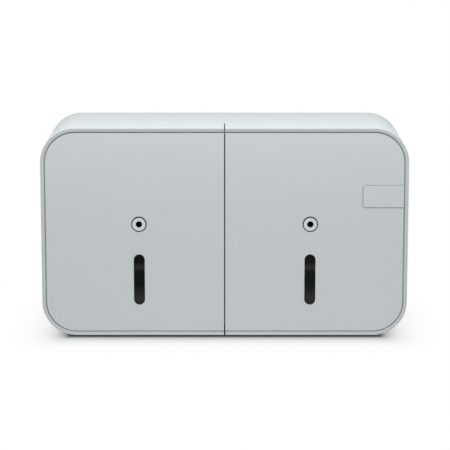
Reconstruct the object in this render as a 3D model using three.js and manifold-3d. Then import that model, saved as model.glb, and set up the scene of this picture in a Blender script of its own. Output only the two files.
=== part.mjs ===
// Double roll toilet paper dispenser for a wall, in millimetres, +Z up.
// The front faces -Y, the wall is at +Y, and the origin is under the middle of the case on its floor.
// One rear casing carries two roll holders, and two front covers swing on pins at its outer sides.

import * as THREE from 'three';
import { mergeVertices } from 'three/addons/utils/BufferGeometryUtils.js';
import Module from 'manifold-3d';

const wasm = await Module();
wasm.setup();

// The paper rolls that the dispenser takes
const rollRadius = 90;
const coreRadius = 30;

// Driving sizes of the case, with the room that it leaves round each roll
const sideRoom = 12;
const topRoom = 11;
const bottomRoom = 29;
const middleRoom = 0.75;
const caseDepth = 130;
const cornerRadius = 37;
const coverDepth = 44;
const shellWall = 3;
const backWall = 3;

// Clearances
const fitGap = 0.3;
const runGap = 0.25;
const coverSeam = 0.5;
const centreGap = 1.3;
const cutOver = 1;

// Front of each cover
const rimThickness = 3.8;
const panelRecess = 1;
const panelThickness = 2;
const panelGap = 1;
const webThickness = 2.2;
const coverRibThickness = 2;
const coverRibDepth = 6;
const edgeRibDepth = 8;
const upperRibShares = [0.3, 0.65];

// Locating lip of the rear casing, which the covers close over
const lipThickness = 1.8;
const lipReach = 5;
const lipRoot = 8;

// Hinges
const pinRadius = 1.5;
const hingeLength = 30;
const hingeSpacing = 105;
const fixedKnuckleLength = 8;
const coverSwing = THREE.MathUtils.degToRad(110);
const knuckleWebOverlap = 1;

// Window in each cover
const windowWidth = 11.8;
const windowCoreMargin = 3;
const windowRollMargin = 1.5;
const lensRecess = 0.5;
const lensFlangeMargin = 2.5;
const lensFlangeThickness = 1.6;

// Lock in each cover
const lockFaceRadius = 7.6;
const lockHoleGap = 0.6;
const lockProud = 0.3;
const lockBarrelRadius = 6;
const lockBarrelLength = 8;
const keyHoleRadius = 3.2;
const lockFaceThickness = 1;
const plugRadius = 4;
const plugTailRadius = 2.4;
const plugTailLength = 3.9;
const keySocketRadius = 3.1;
const keySocketDepth = 6;
const wardWidth = 1.2;
const wardDepth = 0.5;
const retainerThickness = 1.2;
const retainerGap = 0.15;
const lockNutRadius = 9;
const lockNutThickness = 3;
const camLength = 12;
const camWidth = 6;
const camThickness = 2.8;
const camScrewRadius = 1.25;
const camScrewLength = 7;
const camScrewHeadRadius = 2.6;
const camScrewHeadHeight = 1.5;

// Catch socket on the front end of each axle
const socketRadius = 13;
const socketPlate = 2;
const socketPocketRadius = 8.5;
const socketPocketDepth = 8;
const socketSlotPlay = 2.2;
const socketSlotGap = 0.5;
const socketBevel = 1;
const socketCamGap = 0.5;
const socketScrewRadius = 1.6;
const socketScrewLength = 8;
const socketScrewHeadRadius = 3;
const socketScrewHeadHeight = 2;

// Axle
const axleRadius = 10;
const axleBoreRadius = 6.5;
const axleNoseLength = 10;
const axleFlangeRadius = 32;
const axleFlangeThickness = 5;
const axleScrewCircle = 23;
const axleScrewRadius = 2;
const axleScrewLength = 8;
const axleScrewHeadRadius = 4;
const axleScrewHeadHeight = 2.4;
const axleScrewCount = 3;

// Roll hub and brake ring
const brakeRingRadius = 16;
const brakeRingThickness = 1;
const hubCoreGap = 2;
const hubWall = 2;
const hubSleeveWall = 2.7;
const hubFlangeRadius = 35;
const hubFlangeThickness = 2.5;
const hubNoseLength = 5;
const hubNoseDrop = 1.2;
const hubRibThickness = 1.8;
const hubRibCount = 6;
const hubRibSetback = 7;
const hubFinCount = 3;
const hubFinHeight = 1;
const hubFinWidth = 3;
const hubFinLength = 60;

// Inside of the rear casing
const bossRadius = 36;
const bossHeight = 5;
const backRibCount = 8;
const backRibMargin = 16;
const backRibHeight = 3;
const backRibThickness = 2;
const dividerThickness = 2.5;
const dividerFrontGap = 0.5;
const dividerCornerRadius = 8;
const railThickness = 2;
const railHeight = 3.5;
const wallHoleSpacing = 100;
const keyholeMargin = 24;
const plainHoleMargin = 6;
const keyholeHeadRadius = 4.5;
const keyholeNeckRadius = 2.5;
const keyholeNeckRise = 9;
const plainHoleRadius = 2.75;

// Paper outlets and tear bars
const outletRearMargin = 8;
const outletFrontMargin = 15;
const outletCornerRadius = 6;
const tearBarThickness = 1;
const tearBarSeat = 9;
const toothHeight = 2.5;
const toothCount = 16;
const stakeRadius = 1.6;
const stakeRise = 1;
const stakeInset = 10;

// Bare badge plate on the right cover
const badgeWidth = 43.9;
const badgeHeight = 24.5;
const badgeBottom = 139.7;
const badgeCornerRadius = 3;
const badgeThickness = 0.9;
const badgeProud = 0.5;
const badgeGap = 0.4;
const badgeGlue = 0.1;

// Steps on round stretches
const cornerSteps = 9;
const smallArcSteps = 4;
const roundSides = 32;
const mediumSides = 22;
const smallSides = 12;
const tinySides = 8;

// Roll axes along Y, and the case round both rolls
const bayOffset = dividerThickness / 2 + middleRoom + rollRadius;
const rollAxisHeight = shellWall + bottomRoom + rollRadius;
const halfWidth = bayOffset + rollRadius + sideRoom + shellWall;
const caseHeight = rollAxisHeight + rollRadius + topRoom + shellWall;
const hubRadius = coreRadius - hubCoreGap;

// The window runs from the edge of a full roll to that of the core
const windowLength = rollRadius - windowRollMargin - coreRadius - windowCoreMargin;
const windowCentreZ = rollAxisHeight - coreRadius - windowCoreMargin - windowLength / 2;

// Planes that the sizes give, from the front to the back
const frontY = -caseDepth / 2;
const backY = caseDepth / 2;
const seamY = frontY + coverDepth;
const panelFrontY = frontY + panelRecess;
const panelBackY = panelFrontY + panelThickness;
const webFrontY = panelBackY + fitGap;
const webBackY = webFrontY + webThickness;
const backInnerY = backY - backWall;
const bossFrontY = backInnerY - bossHeight;
const axleFlangeBackY = bossFrontY - fitGap;
const axleFlangeFrontY = axleFlangeBackY - axleFlangeThickness;
const brakeRingBackY = axleFlangeFrontY - fitGap;
const hubBackY = brakeRingBackY - brakeRingThickness - fitGap;

// The lock decides where the catch socket lies, and the socket decides where the axle and the hub end
const lockHeadBackY = webFrontY - fitGap;
const lockBarrelBackY = lockHeadBackY + lockBarrelLength;
const plugBackY = lockBarrelBackY + fitGap;
const plugTailBackY = plugBackY + plugTailLength;
const camFrontY = plugTailBackY;
const camBackY = camFrontY + camThickness;
const socketPlateBackY = camFrontY - socketCamGap;
const socketFrontY = socketPlateBackY - socketPlate;
const socketFloorY = socketPlateBackY + socketPocketDepth;
const socketBackY = socketFloorY + socketPlate;
const axleFrontY = socketBackY + fitGap;
const hubFrontY = axleFrontY + fitGap;

const hingeX = halfWidth - shellWall;
const knuckleRadius = shellWall;
const hingeHeights = [-1, 1].map((end) => caseHeight / 2 + (end * hingeSpacing) / 2);
const hingeRelief = (shellWall * (1 - Math.cos(coverSwing)) + fitGap) / Math.sin(coverSwing);
const movingKnuckleLength = hingeLength - 2 * fixedKnuckleLength - 2 * fitGap;
const bossHoleRadius = axleScrewRadius + runGap;

// Finishes
const finishes = {
  casing: { color: 0xc6cbce, roughness: 0.5, metalness: 0.1 },
  panel: { color: 0xc0c5c8, roughness: 0.45, metalness: 0.15 },
  inner: { color: 0xb9bdbf, roughness: 0.6, metalness: 0 },
  steel: { color: 0xb8bbbd, roughness: 0.3, metalness: 1 },
  lockFace: { color: 0xd9dcdd, roughness: 0.3, metalness: 0.6 },
  black: { color: 0x141516, roughness: 0.5, metalness: 0 },
  smoked: { color: 0x17191a, roughness: 0.15, metalness: 0 },
  hub: { color: 0x6f7477, roughness: 0.55, metalness: 0 },
  brake: { color: 0x2a2b2c, roughness: 0.9, metalness: 0 },
};

// Solids from closed meshes

function trianglesOf(geometry) {
  geometry.deleteAttribute('normal');
  geometry.deleteAttribute('uv');
  const merged = mergeVertices(geometry);
  const index = merged.index.array;
  const kept = [];
  for (let i = 0; i < index.length; i += 3) {
    const [a, b, c] = [index[i], index[i + 1], index[i + 2]];
    if (a !== b && b !== c && c !== a) kept.push(a, b, c);
  }
  return { vertices: merged.attributes.position.array, kept };
}

function toSolid(geometry) {
  const { vertices, kept } = trianglesOf(geometry);
  const vertProperties = new Float32Array(vertices);
  const triVerts = new Uint32Array(kept);
  return new wasm.Manifold(new wasm.Mesh({ numProp: 3, vertProperties, triVerts }));
}

function toGeometry(solid) {
  const mesh = solid.getMesh();
  const geometry = new THREE.BufferGeometry();
  geometry.setAttribute('position', new THREE.BufferAttribute(new Float32Array(mesh.vertProperties), 3));
  geometry.setIndex(new THREE.BufferAttribute(new Uint32Array(mesh.triVerts), 1));
  const faceted = geometry.toNonIndexed();
  faceted.computeVertexNormals();
  return faceted;
}

function join(first, ...others) {
  return others.reduce((whole, piece) => whole.add(piece), first);
}

function cut(first, ...others) {
  return others.reduce((whole, piece) => whole.subtract(piece), first);
}

// Outlines, as lists of points in a plane

function arc(centreX, centreY, radius, startAngle, endAngle, steps) {
  return Array.from({ length: steps + 1 }, (_, i) => {
    const angle = startAngle + ((endAngle - startAngle) * i) / steps;
    return new THREE.Vector2(centreX + radius * Math.cos(angle), centreY + radius * Math.sin(angle));
  });
}

function circle(centreX, centreY, radius, sides) {
  return arc(centreX, centreY, radius, 0, 2 * Math.PI, sides).slice(0, sides);
}

function roundedRectangle(x0, y0, x1, y1, radius, steps) {
  return [
    ...arc(x1 - radius, y0 + radius, radius, -Math.PI / 2, 0, steps),
    ...arc(x1 - radius, y1 - radius, radius, 0, Math.PI / 2, steps),
    ...arc(x0 + radius, y1 - radius, radius, Math.PI / 2, Math.PI, steps),
    ...arc(x0 + radius, y0 + radius, radius, Math.PI, 1.5 * Math.PI, steps),
  ];
}

function upright(centreX, centreY, width, length) {
  const radius = width / 2;
  const reach = length / 2 - radius;
  return [
    ...arc(centreX, centreY + reach, radius, 0, Math.PI, 2 * smallArcSteps),
    ...arc(centreX, centreY - reach, radius, Math.PI, 2 * Math.PI, 2 * smallArcSteps),
  ];
}

// The outline of the whole case, drawn in by an inset
function caseOutline(inset) {
  const radius = cornerRadius - inset;
  return roundedRectangle(-halfWidth + inset, inset, halfWidth - inset, caseHeight - inset, radius, cornerSteps);
}

// The outline of one half of the case, from innerX out to its rounded side
function halfOutline(side, inset, innerX) {
  const radius = cornerRadius - inset;
  const centreX = halfWidth - cornerRadius;
  const points = [
    new THREE.Vector2(innerX, inset),
    ...arc(centreX, cornerRadius, radius, -Math.PI / 2, 0, cornerSteps),
    ...arc(centreX, caseHeight - cornerRadius, radius, 0, Math.PI / 2, cornerSteps),
    new THREE.Vector2(innerX, caseHeight - inset),
  ];
  return points.map((point) => new THREE.Vector2(side * point.x, point.y));
}

// Solids from outlines

// An outline in X and Z, thick from nearY to farY along Y
function slab(outline, nearY, farY) {
  const options = { depth: farY - nearY, bevelEnabled: false };
  const geometry = new THREE.ExtrudeGeometry(new THREE.Shape(outline), options);
  geometry.rotateX(Math.PI / 2);
  geometry.translate(0, farY, 0);
  return toSolid(geometry);
}

// An outline in X and Y, thick from lowZ to highZ
function plate(outline, lowZ, highZ) {
  const options = { depth: highZ - lowZ, bevelEnabled: false };
  const geometry = new THREE.ExtrudeGeometry(new THREE.Shape(outline), options);
  geometry.translate(0, 0, lowZ);
  return toSolid(geometry);
}

// An outline in Y and Z, thick from lowX to highX
function sheet(outline, lowX, highX) {
  const options = { depth: highX - lowX, bevelEnabled: false };
  const geometry = new THREE.ExtrudeGeometry(new THREE.Shape(outline), options);
  geometry.applyMatrix4(new THREE.Matrix4().set(0, 0, 1, 0, 1, 0, 0, 0, 0, 1, 0, 0, 0, 0, 0, 1));
  geometry.translate(lowX, 0, 0);
  return toSolid(geometry);
}

function block(x0, y0, z0, x1, y1, z1) {
  const [lowX, highX] = [Math.min(x0, x1), Math.max(x0, x1)];
  const geometry = new THREE.BoxGeometry(highX - lowX, y1 - y0, z1 - z0);
  geometry.translate((lowX + highX) / 2, (y0 + y1) / 2, (z0 + z1) / 2);
  return toSolid(geometry);
}

function rodAlongY(x, z, radius, nearY, farY, sides = smallSides) {
  return slab(circle(x, z, radius, sides), nearY, farY);
}

function rodAlongZ(x, y, radius, lowZ, highZ, sides = smallSides) {
  return plate(circle(x, y, radius, sides), lowZ, highZ);
}

// A flat rib that runs out from an axis along Y
function spoke(innerRadius, outerRadius, nearY, farY, thickness, angle, centre = new THREE.Vector3()) {
  const geometry = new THREE.BoxGeometry(outerRadius - innerRadius, farY - nearY, thickness);
  geometry.translate((innerRadius + outerRadius) / 2, (nearY + farY) / 2, 0);
  geometry.rotateY(angle);
  geometry.translate(centre.x, centre.y, centre.z);
  return toSolid(geometry);
}

// A closed profile of [radius, y] pairs turned about the Y axis, taken round so that its faces point out
function turned(profile, sides = mediumSides) {
  const points = profile.map(([radius, y]) => new THREE.Vector2(radius, y));
  if (THREE.ShapeUtils.area(points) < 0) points.reverse();
  return toSolid(new THREE.LatheGeometry([...points, points[0]], sides));
}

// Rear casing

function casingBand() {
  const outer = slab(caseOutline(0), seamY, backY);
  const hollow = slab(caseOutline(shellWall), seamY - cutOver, backInnerY);
  return cut(outer, hollow);
}

function locatingLip() {
  const lipInset = shellWall + fitGap;
  const innerInset = lipInset + lipThickness;
  const lip = slab(caseOutline(lipInset), seamY - lipReach, seamY + lipRoot);
  const root = slab(caseOutline(shellWall / 2), seamY, seamY + lipRoot);
  const inside = slab(caseOutline(innerInset), seamY - lipReach - cutOver, seamY + lipRoot + cutOver);
  return cut(join(lip, root), inside);
}

function bayBoss(side) {
  const x = side * bayOffset;
  const boss = rodAlongY(x, rollAxisHeight, bossRadius, bossFrontY, backInnerY + backWall / 2, roundSides);
  return join(boss, ...backRibs(side));
}

function backRibs(side) {
  return Array.from({ length: backRibCount }, (_, i) => {
    const angle = (2 * Math.PI * i) / backRibCount;
    const centre = new THREE.Vector3(side * bayOffset, 0, rollAxisHeight);
    const [nearY, farY] = [backInnerY - backRibHeight, backInnerY + backWall / 2];
    return spoke(bossRadius / 2, rollRadius - backRibMargin, nearY, farY, backRibThickness, angle, centre);
  });
}

function screwPlace(side, index) {
  const angle = Math.PI / 2 + (2 * Math.PI * index) / axleScrewCount;
  const x = side * bayOffset + axleScrewCircle * Math.cos(angle);
  return { x, z: rollAxisHeight + axleScrewCircle * Math.sin(angle) };
}

function axleScrewTipY() {
  return axleFlangeFrontY + runGap + axleScrewHeadHeight + axleScrewLength;
}

function bossHoles(side) {
  return Array.from({ length: axleScrewCount }, (_, i) => {
    const { x, z } = screwPlace(side, i);
    return rodAlongY(x, z, bossHoleRadius, bossFrontY - cutOver, axleScrewTipY() + fitGap);
  });
}

function wallHoles(side) {
  const nearY = backInnerY - cutOver;
  const farY = backY + cutOver;
  return [-1, 1].flatMap((end) => {
    const x = side * bayOffset + (end * wallHoleSpacing) / 2;
    const topZ = rollAxisHeight + rollRadius - keyholeMargin;
    const head = rodAlongY(x, topZ, keyholeHeadRadius, nearY, farY);
    const neckLength = keyholeNeckRise + 2 * keyholeNeckRadius;
    const neck = slab(upright(x, topZ + keyholeNeckRise / 2, 2 * keyholeNeckRadius, neckLength), nearY, farY);
    const lowZ = rollAxisHeight - rollRadius + plainHoleMargin;
    const plain = rodAlongY(x, lowZ, plainHoleRadius, nearY, farY);
    return [join(head, neck), plain];
  });
}

// The paper outlet lies under the roll axis, as wide as the tear bars beside it leave on the flat of the floor
const outletReach = halfWidth - cornerRadius - tearBarSeat - bayOffset;

function outletEdges(side) {
  const centre = side * bayOffset;
  return [centre - outletReach, centre + outletReach];
}

const outletRearY = backInnerY - outletRearMargin;

function casingOutlet(side) {
  const [x0, x1] = outletEdges(side);
  const nearY = seamY - lipReach - cutOver;
  const openY = nearY - outletCornerRadius;
  const outline = roundedRectangle(x0, openY, x1, outletRearY, outletCornerRadius, smallArcSteps);
  const topZ = shellWall + fitGap + lipThickness + cutOver;
  return plate(outline, -cutOver, topZ);
}

function tearBarSpan() {
  return { nearY: seamY + lipRoot + fitGap, farY: outletRearY - outletCornerRadius };
}

function stakePlaces(side, edge) {
  const { nearY, farY } = tearBarSpan();
  const edgeX = outletEdges(side)[edge];
  const outward = edge === 0 ? -1 : 1;
  const x = edgeX + (outward * tearBarSeat) / 2;
  return [nearY + stakeInset, farY - stakeInset].map((y) => ({ x, y }));
}

function tearBarStakes(side) {
  const topZ = shellWall + fitGap + tearBarThickness + stakeRise;
  const places = [0, 1].flatMap((edge) => stakePlaces(side, edge));
  return places.map(({ x, y }) => rodAlongZ(x, y, stakeRadius, shellWall / 2, topZ, tinySides));
}

function dividerRails() {
  const innerX = dividerThickness / 2 + fitGap;
  const outerX = innerX + railThickness;
  const nearY = seamY + lipRoot;
  const inset = shellWall / 2;
  return [-1, 1].flatMap((side) => {
    const [x0, x1] = [side * innerX, side * outerX];
    const top = caseHeight - inset;
    return [
      block(x0, nearY, inset, x1, backY - inset, shellWall + railHeight),
      block(x0, nearY, top - railHeight - inset, x1, backY - inset, top),
      block(x0, backInnerY - railHeight, inset, x1, backY - inset, top),
    ];
  });
}

function fixedKnuckles(side) {
  return hingeHeights.flatMap((middle) =>
    [-1, 1].map((end) => {
      const outer = middle + (end * hingeLength) / 2;
      const inner = outer - end * fixedKnuckleLength;
      return rodAlongZ(side * hingeX, seamY, knuckleRadius, Math.min(inner, outer), Math.max(inner, outer));
    }),
  );
}

// Room in the rear casing for each knuckle of the cover and for the web that carries it
function knucklePockets(side) {
  const reach = Math.hypot(knuckleRadius, hingeRelief) + fitGap;
  const half = movingKnuckleLength / 2 + fitGap;
  const x = side * hingeX;
  const lipX = side * (hingeX - fitGap - lipThickness - reach);
  return hingeHeights.flatMap((middle) => [
    rodAlongZ(x, seamY, reach, middle - half, middle + half),
    block(x, seamY - lipReach - cutOver, middle - half, lipX, seamY, middle + half),
  ]);
}

function pinBores(side, radius) {
  return hingeHeights.map((middle) => {
    const half = hingeLength / 2 + cutOver;
    return rodAlongZ(side * hingeX, seamY, radius, middle - half, middle + half);
  });
}

function rearCasing() {
  const additions = [-1, 1].flatMap((side) => [bayBoss(side), ...tearBarStakes(side)]);
  const body = join(casingBand(), locatingLip(), ...additions, ...dividerRails());
  const openings = [-1, 1].flatMap((side) => [
    ...bossHoles(side),
    ...wallHoles(side),
    casingOutlet(side),
    ...knucklePockets(side),
  ]);
  const opened = join(cut(body, ...openings), ...fixedKnuckles(-1), ...fixedKnuckles(1));
  return cut(opened, ...pinBores(-1, pinRadius + runGap), ...pinBores(1, pinRadius + runGap));
}

function dividerWall() {
  const lipInset = shellWall + fitGap + lipThickness + fitGap;
  const wallInset = shellWall + fitGap;
  const stepY = seamY + lipRoot + fitGap;
  const nearY = webBackY + edgeRibDepth + dividerFrontGap;
  const farY = backInnerY - fitGap;
  const radius = dividerCornerRadius;
  const outline = [
    new THREE.Vector2(farY, wallInset),
    new THREE.Vector2(farY, caseHeight - wallInset),
    new THREE.Vector2(stepY, caseHeight - wallInset),
    new THREE.Vector2(stepY, caseHeight - lipInset),
    ...arc(nearY + radius, caseHeight - lipInset - radius, radius, Math.PI / 2, Math.PI, smallArcSteps),
    ...arc(nearY + radius, lipInset + radius, radius, Math.PI, 1.5 * Math.PI, smallArcSteps),
    new THREE.Vector2(stepY, lipInset),
    new THREE.Vector2(stepY, wallInset),
  ];
  return sheet(outline, -dividerThickness / 2, dividerThickness / 2);
}

// A flat steel strip with one row of teeth that stands out over the paper outlet
function tearBar(side, edge) {
  const { nearY, farY } = tearBarSpan();
  const edgeX = outletEdges(side)[edge];
  const outward = edge === 0 ? -1 : 1;
  const pitch = (farY - nearY) / toothCount;
  const teeth = Array.from({ length: toothCount }, (_, i) => [
    new THREE.Vector2(edgeX, nearY + pitch * i),
    new THREE.Vector2(edgeX - outward * toothHeight, nearY + pitch * (i + 0.5)),
  ]).flat();
  const seatX = edgeX + outward * tearBarSeat;
  const outline = [...teeth, new THREE.Vector2(edgeX, farY), new THREE.Vector2(seatX, farY)];
  outline.push(new THREE.Vector2(seatX, nearY));
  const lowZ = shellWall + fitGap;
  const strip = plate(outline, lowZ, lowZ + tearBarThickness);
  const holes = stakePlaces(side, edge).map(({ x, y }) =>
    rodAlongZ(x, y, stakeRadius + runGap, lowZ - cutOver, lowZ + tearBarThickness + cutOver, tinySides),
  );
  return cut(strip, ...holes);
}

function hingePin() {
  return rodAlongZ(0, 0, pinRadius, -hingeLength / 2, hingeLength / 2);
}

// Roll holder, about its own axis

function axle() {
  const body = turned([
    [axleBoreRadius, axleFlangeBackY],
    [axleBoreRadius, axleFrontY + axleNoseLength],
    [socketScrewRadius + runGap, axleFrontY + axleNoseLength],
    [socketScrewRadius + runGap, axleFrontY],
    [axleRadius, axleFrontY],
    [axleRadius, axleFlangeFrontY],
    [axleFlangeRadius, axleFlangeFrontY],
    [axleFlangeRadius, axleFlangeBackY],
  ], roundSides);
  const holes = Array.from({ length: axleScrewCount }, (_, i) => {
    const { x, z } = screwPlace(0, i);
    const spot = [x, z - rollAxisHeight];
    const through = rodAlongY(...spot, bossHoleRadius, axleFlangeFrontY - cutOver, axleFlangeBackY + cutOver);
    const seatY = axleFlangeFrontY + runGap + axleScrewHeadHeight + runGap;
    const seat = rodAlongY(...spot, axleScrewHeadRadius + runGap, axleFlangeFrontY - cutOver, seatY);
    return join(through, seat);
  });
  return cut(body, ...holes);
}

// A pan head screw: the underside of its head lies at seatY, and towards is the way along Y that its tip points
function screw(seatY, towards, headRadius, headHeight, shankRadius, shankLength) {
  const profile = [
    [0, -headHeight],
    [headRadius / 2, -headHeight],
    [headRadius, -headHeight / 2],
    [headRadius, 0],
    [shankRadius, 0],
    [shankRadius, shankLength - shankRadius],
    [0, shankLength],
  ];
  return turned(profile.map(([radius, along]) => [radius, seatY + towards * along]), tinySides);
}

function catchSocket() {
  const body = turned([
    [socketPocketRadius, socketPlateBackY],
    [socketPocketRadius, socketFloorY],
    [socketScrewRadius + runGap, socketFloorY],
    [socketScrewRadius + runGap, socketBackY],
    [socketRadius, socketBackY],
    [socketRadius, socketFrontY + socketBevel],
    [socketRadius - socketBevel, socketFrontY],
    [0, socketFrontY],
    [0, socketPlateBackY],
  ]);
  const halfLength = camLength / 2 + socketSlotPlay;
  const halfHeight = camWidth / 2 + socketSlotGap;
  const nearY = socketFrontY - cutOver;
  const farY = socketPlateBackY + cutOver;
  return cut(body, block(-halfLength, nearY, -halfHeight, halfLength, farY, halfHeight));
}

function rollHub() {
  const sleeveInner = axleRadius + runGap;
  const sleeveOuter = sleeveInner + hubSleeveWall;
  const flangeFrontY = hubBackY - hubFlangeThickness;
  const body = turned([
    [sleeveInner, hubBackY],
    [sleeveInner, hubFrontY],
    [sleeveOuter, hubFrontY],
    [sleeveOuter, flangeFrontY],
    [hubRadius - hubWall, flangeFrontY],
    [hubRadius - hubWall, hubFrontY],
    [hubRadius - hubNoseDrop, hubFrontY],
    [hubRadius, hubFrontY + hubNoseLength],
    [hubRadius, flangeFrontY],
    [hubFlangeRadius, flangeFrontY],
    [hubFlangeRadius, hubBackY],
  ], roundSides);
  return join(body, ...hubRibs(sleeveOuter, flangeFrontY), ...hubFins(flangeFrontY));
}

function hubRibs(sleeveOuter, flangeFrontY) {
  const inner = sleeveOuter - hubSleeveWall / 2;
  const outer = hubRadius - hubWall / 2;
  const nearY = hubFrontY + hubRibSetback;
  const farY = flangeFrontY + hubFlangeThickness / 2;
  return Array.from({ length: hubRibCount }, (_, i) =>
    spoke(inner, outer, nearY, farY, hubRibThickness, (2 * Math.PI * i) / hubRibCount),
  );
}

function hubFins(flangeFrontY) {
  const inner = hubRadius - hubWall / 2;
  const outer = hubRadius + hubFinHeight;
  const nearY = flangeFrontY - hubFinLength;
  const farY = flangeFrontY + hubFlangeThickness / 2;
  return Array.from({ length: hubFinCount }, (_, i) =>
    spoke(inner, outer, nearY, farY, hubFinWidth, (2 * Math.PI * (i + 0.5)) / hubFinCount),
  );
}

function ring(innerRadius, outerRadius, nearY, farY, sides = mediumSides) {
  return turned([[innerRadius, nearY], [outerRadius, nearY], [outerRadius, farY], [innerRadius, farY]], sides);
}

function brakeRing() {
  return ring(axleRadius + runGap, brakeRingRadius, brakeRingBackY - brakeRingThickness, brakeRingBackY);
}

// Front cover

function coverBlank(side) {
  const innerX = centreGap / 2;
  const openX = -centreGap;
  const outer = slab(halfOutline(side, 0, innerX), frontY, seamY - coverSeam);
  const face = slab(halfOutline(side, rimThickness, openX), frontY - cutOver, webFrontY);
  const hollow = slab(halfOutline(side, shellWall, openX), webBackY, seamY);
  return cut(outer, face, hollow);
}

// One rib under the window, one between window and lock, and the rest between lock and top
function coverRibHeights() {
  const flangeReach = windowLength / 2 + lensFlangeMargin;
  const underWindow = (shellWall + windowCentreZ - flangeReach) / 2;
  const overWindow = (windowCentreZ + flangeReach + rollAxisHeight - lockNutRadius) / 2;
  const lockTop = rollAxisHeight + lockNutRadius;
  const upper = upperRibShares.map((share) => lockTop + share * (caseHeight - shellWall - lockTop));
  return [underWindow, overWindow, ...upper];
}

function coverRibs(side) {
  const rootY = webBackY - webThickness / 2;
  const inset = shellWall / 2;
  const innerX = side * (centreGap / 2);
  const edgeX = innerX + side * coverRibThickness;
  const edge = block(innerX, rootY, inset, edgeX, webBackY + edgeRibDepth, caseHeight - inset);
  const wide = slab(halfOutline(side, inset, centreGap / 2), rootY, webBackY + coverRibDepth);
  const across = coverRibHeights().map((middle) => {
    const lowZ = middle - coverRibThickness / 2;
    const reachX = side * halfWidth;
    return block(0, rootY, lowZ, reachX, webBackY + coverRibDepth, lowZ + coverRibThickness).intersect(wide);
  });
  return [edge, ...across];
}

function coverOutlet(side) {
  const [x0, x1] = outletEdges(side);
  const nearY = frontY + outletFrontMargin;
  const openY = seamY + outletCornerRadius;
  const outline = roundedRectangle(x0, nearY, x1, openY, outletCornerRadius, smallArcSteps);
  return plate(outline, -cutOver, shellWall + cutOver);
}

// The side wall stops short of the hinge axis, so that its edge clears the rear casing when the cover stands open
function sideRelief(side) {
  const rise = Math.sqrt(cornerRadius ** 2 - (cornerRadius - shellWall) ** 2);
  const lowZ = cornerRadius - rise;
  const nearY = seamY - hingeRelief;
  const innerX = side * (hingeX - 2 * shellWall);
  return block(innerX, nearY, lowZ, side * (halfWidth + cutOver), seamY + cutOver, caseHeight - lowZ);
}

function movingKnuckles(side) {
  const x = side * hingeX;
  const half = movingKnuckleLength / 2;
  const nearY = seamY - hingeRelief - knuckleWebOverlap;
  return hingeHeights.flatMap((middle) => [
    rodAlongZ(x, seamY, knuckleRadius, middle - half, middle + half),
    block(x, nearY, middle - half, side * halfWidth, seamY, middle + half),
  ]);
}

function windowOutline(side, growth) {
  return upright(side * bayOffset, windowCentreZ, windowWidth + 2 * growth, windowLength + 2 * growth);
}

function coverShell(side) {
  const solid = join(coverBlank(side), ...coverRibs(side));
  const lockHole = rodAlongY(
    side * bayOffset,
    rollAxisHeight,
    lockBarrelRadius + fitGap,
    webFrontY - cutOver,
    webBackY + cutOver,
  );
  const windowHole = slab(windowOutline(side, 0), webFrontY - cutOver, webBackY + cutOver);
  const opened = cut(solid, lockHole, windowHole, coverOutlet(side), sideRelief(side));
  return cut(join(opened, ...movingKnuckles(side)), ...pinBores(side, pinRadius + runGap));
}

function badgeOutline(side, growth) {
  const outerX = halfWidth - rimThickness - panelGap;
  const innerX = outerX - badgeWidth - growth;
  const radius = badgeCornerRadius + growth;
  const lowZ = badgeBottom - growth;
  const highZ = badgeBottom + badgeHeight + growth;
  const farX = outerX + (growth > 0 ? cutOver : 0);
  const points = [
    ...arc(innerX + radius, highZ - radius, radius, Math.PI / 2, Math.PI, smallArcSteps),
    ...arc(innerX + radius, lowZ + radius, radius, Math.PI, 1.5 * Math.PI, smallArcSteps),
    new THREE.Vector2(farX, lowZ),
    new THREE.Vector2(farX, highZ),
  ];
  return points.map((point) => new THREE.Vector2(side * point.x, point.y));
}

function facePanel(side) {
  const blank = slab(halfOutline(side, rimThickness + panelGap, centreGap / 2), panelFrontY, panelBackY);
  const nearY = panelFrontY - cutOver;
  const farY = panelBackY + cutOver;
  const lockHole = rodAlongY(side * bayOffset, rollAxisHeight, lockFaceRadius + lockHoleGap, nearY, farY, roundSides);
  const windowHole = slab(windowOutline(side, 0), nearY, farY);
  return cut(blank, lockHole, windowHole);
}

function badgedPanel(side) {
  const pocketY = panelFrontY - badgeProud + badgeThickness + badgeGlue;
  return cut(facePanel(side), slab(badgeOutline(side, badgeGap), panelFrontY - cutOver, pocketY));
}

function badgePlate(side) {
  const frontOfPlateY = panelFrontY - badgeProud;
  return slab(badgeOutline(side, 0), frontOfPlateY, frontOfPlateY + badgeThickness);
}

function windowLens(side) {
  const flangeY = webBackY + fitGap;
  const window = slab(windowOutline(side, -fitGap), panelFrontY + lensRecess, flangeY + lensFlangeThickness / 2);
  const flange = slab(windowOutline(side, lensFlangeMargin), flangeY, flangeY + lensFlangeThickness);
  return join(window, flange);
}

// Lock, about its own axis

const lockBoreRadius = plugRadius + runGap;

function lockHousing() {
  const faceY = panelFrontY - lockProud;
  return turned([
    [keyHoleRadius, faceY],
    [lockFaceRadius - lockProud, faceY],
    [lockFaceRadius, faceY + lockProud],
    [lockFaceRadius, lockHeadBackY],
    [lockBarrelRadius, lockHeadBackY],
    [lockBarrelRadius, lockBarrelBackY],
    [lockBoreRadius, lockBarrelBackY],
    [lockBoreRadius, faceY + lockFaceThickness],
    [keyHoleRadius, faceY + lockFaceThickness],
  ]);
}

function lockNut() {
  const outline = circle(0, 0, lockNutRadius, 6);
  const nearY = webBackY + fitGap;
  const farY = nearY + lockNutThickness;
  const hole = rodAlongY(0, 0, lockBarrelRadius + runGap, nearY - cutOver, farY + cutOver, mediumSides);
  return cut(slab(outline, nearY, farY), hole);
}

const retainerFarY = lockBarrelBackY;
const retainerNearY = retainerFarY - retainerThickness;

function plugRetainer() {
  return ring(plugTailRadius + runGap, lockBoreRadius - retainerGap, retainerNearY, retainerFarY, smallSides);
}

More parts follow.
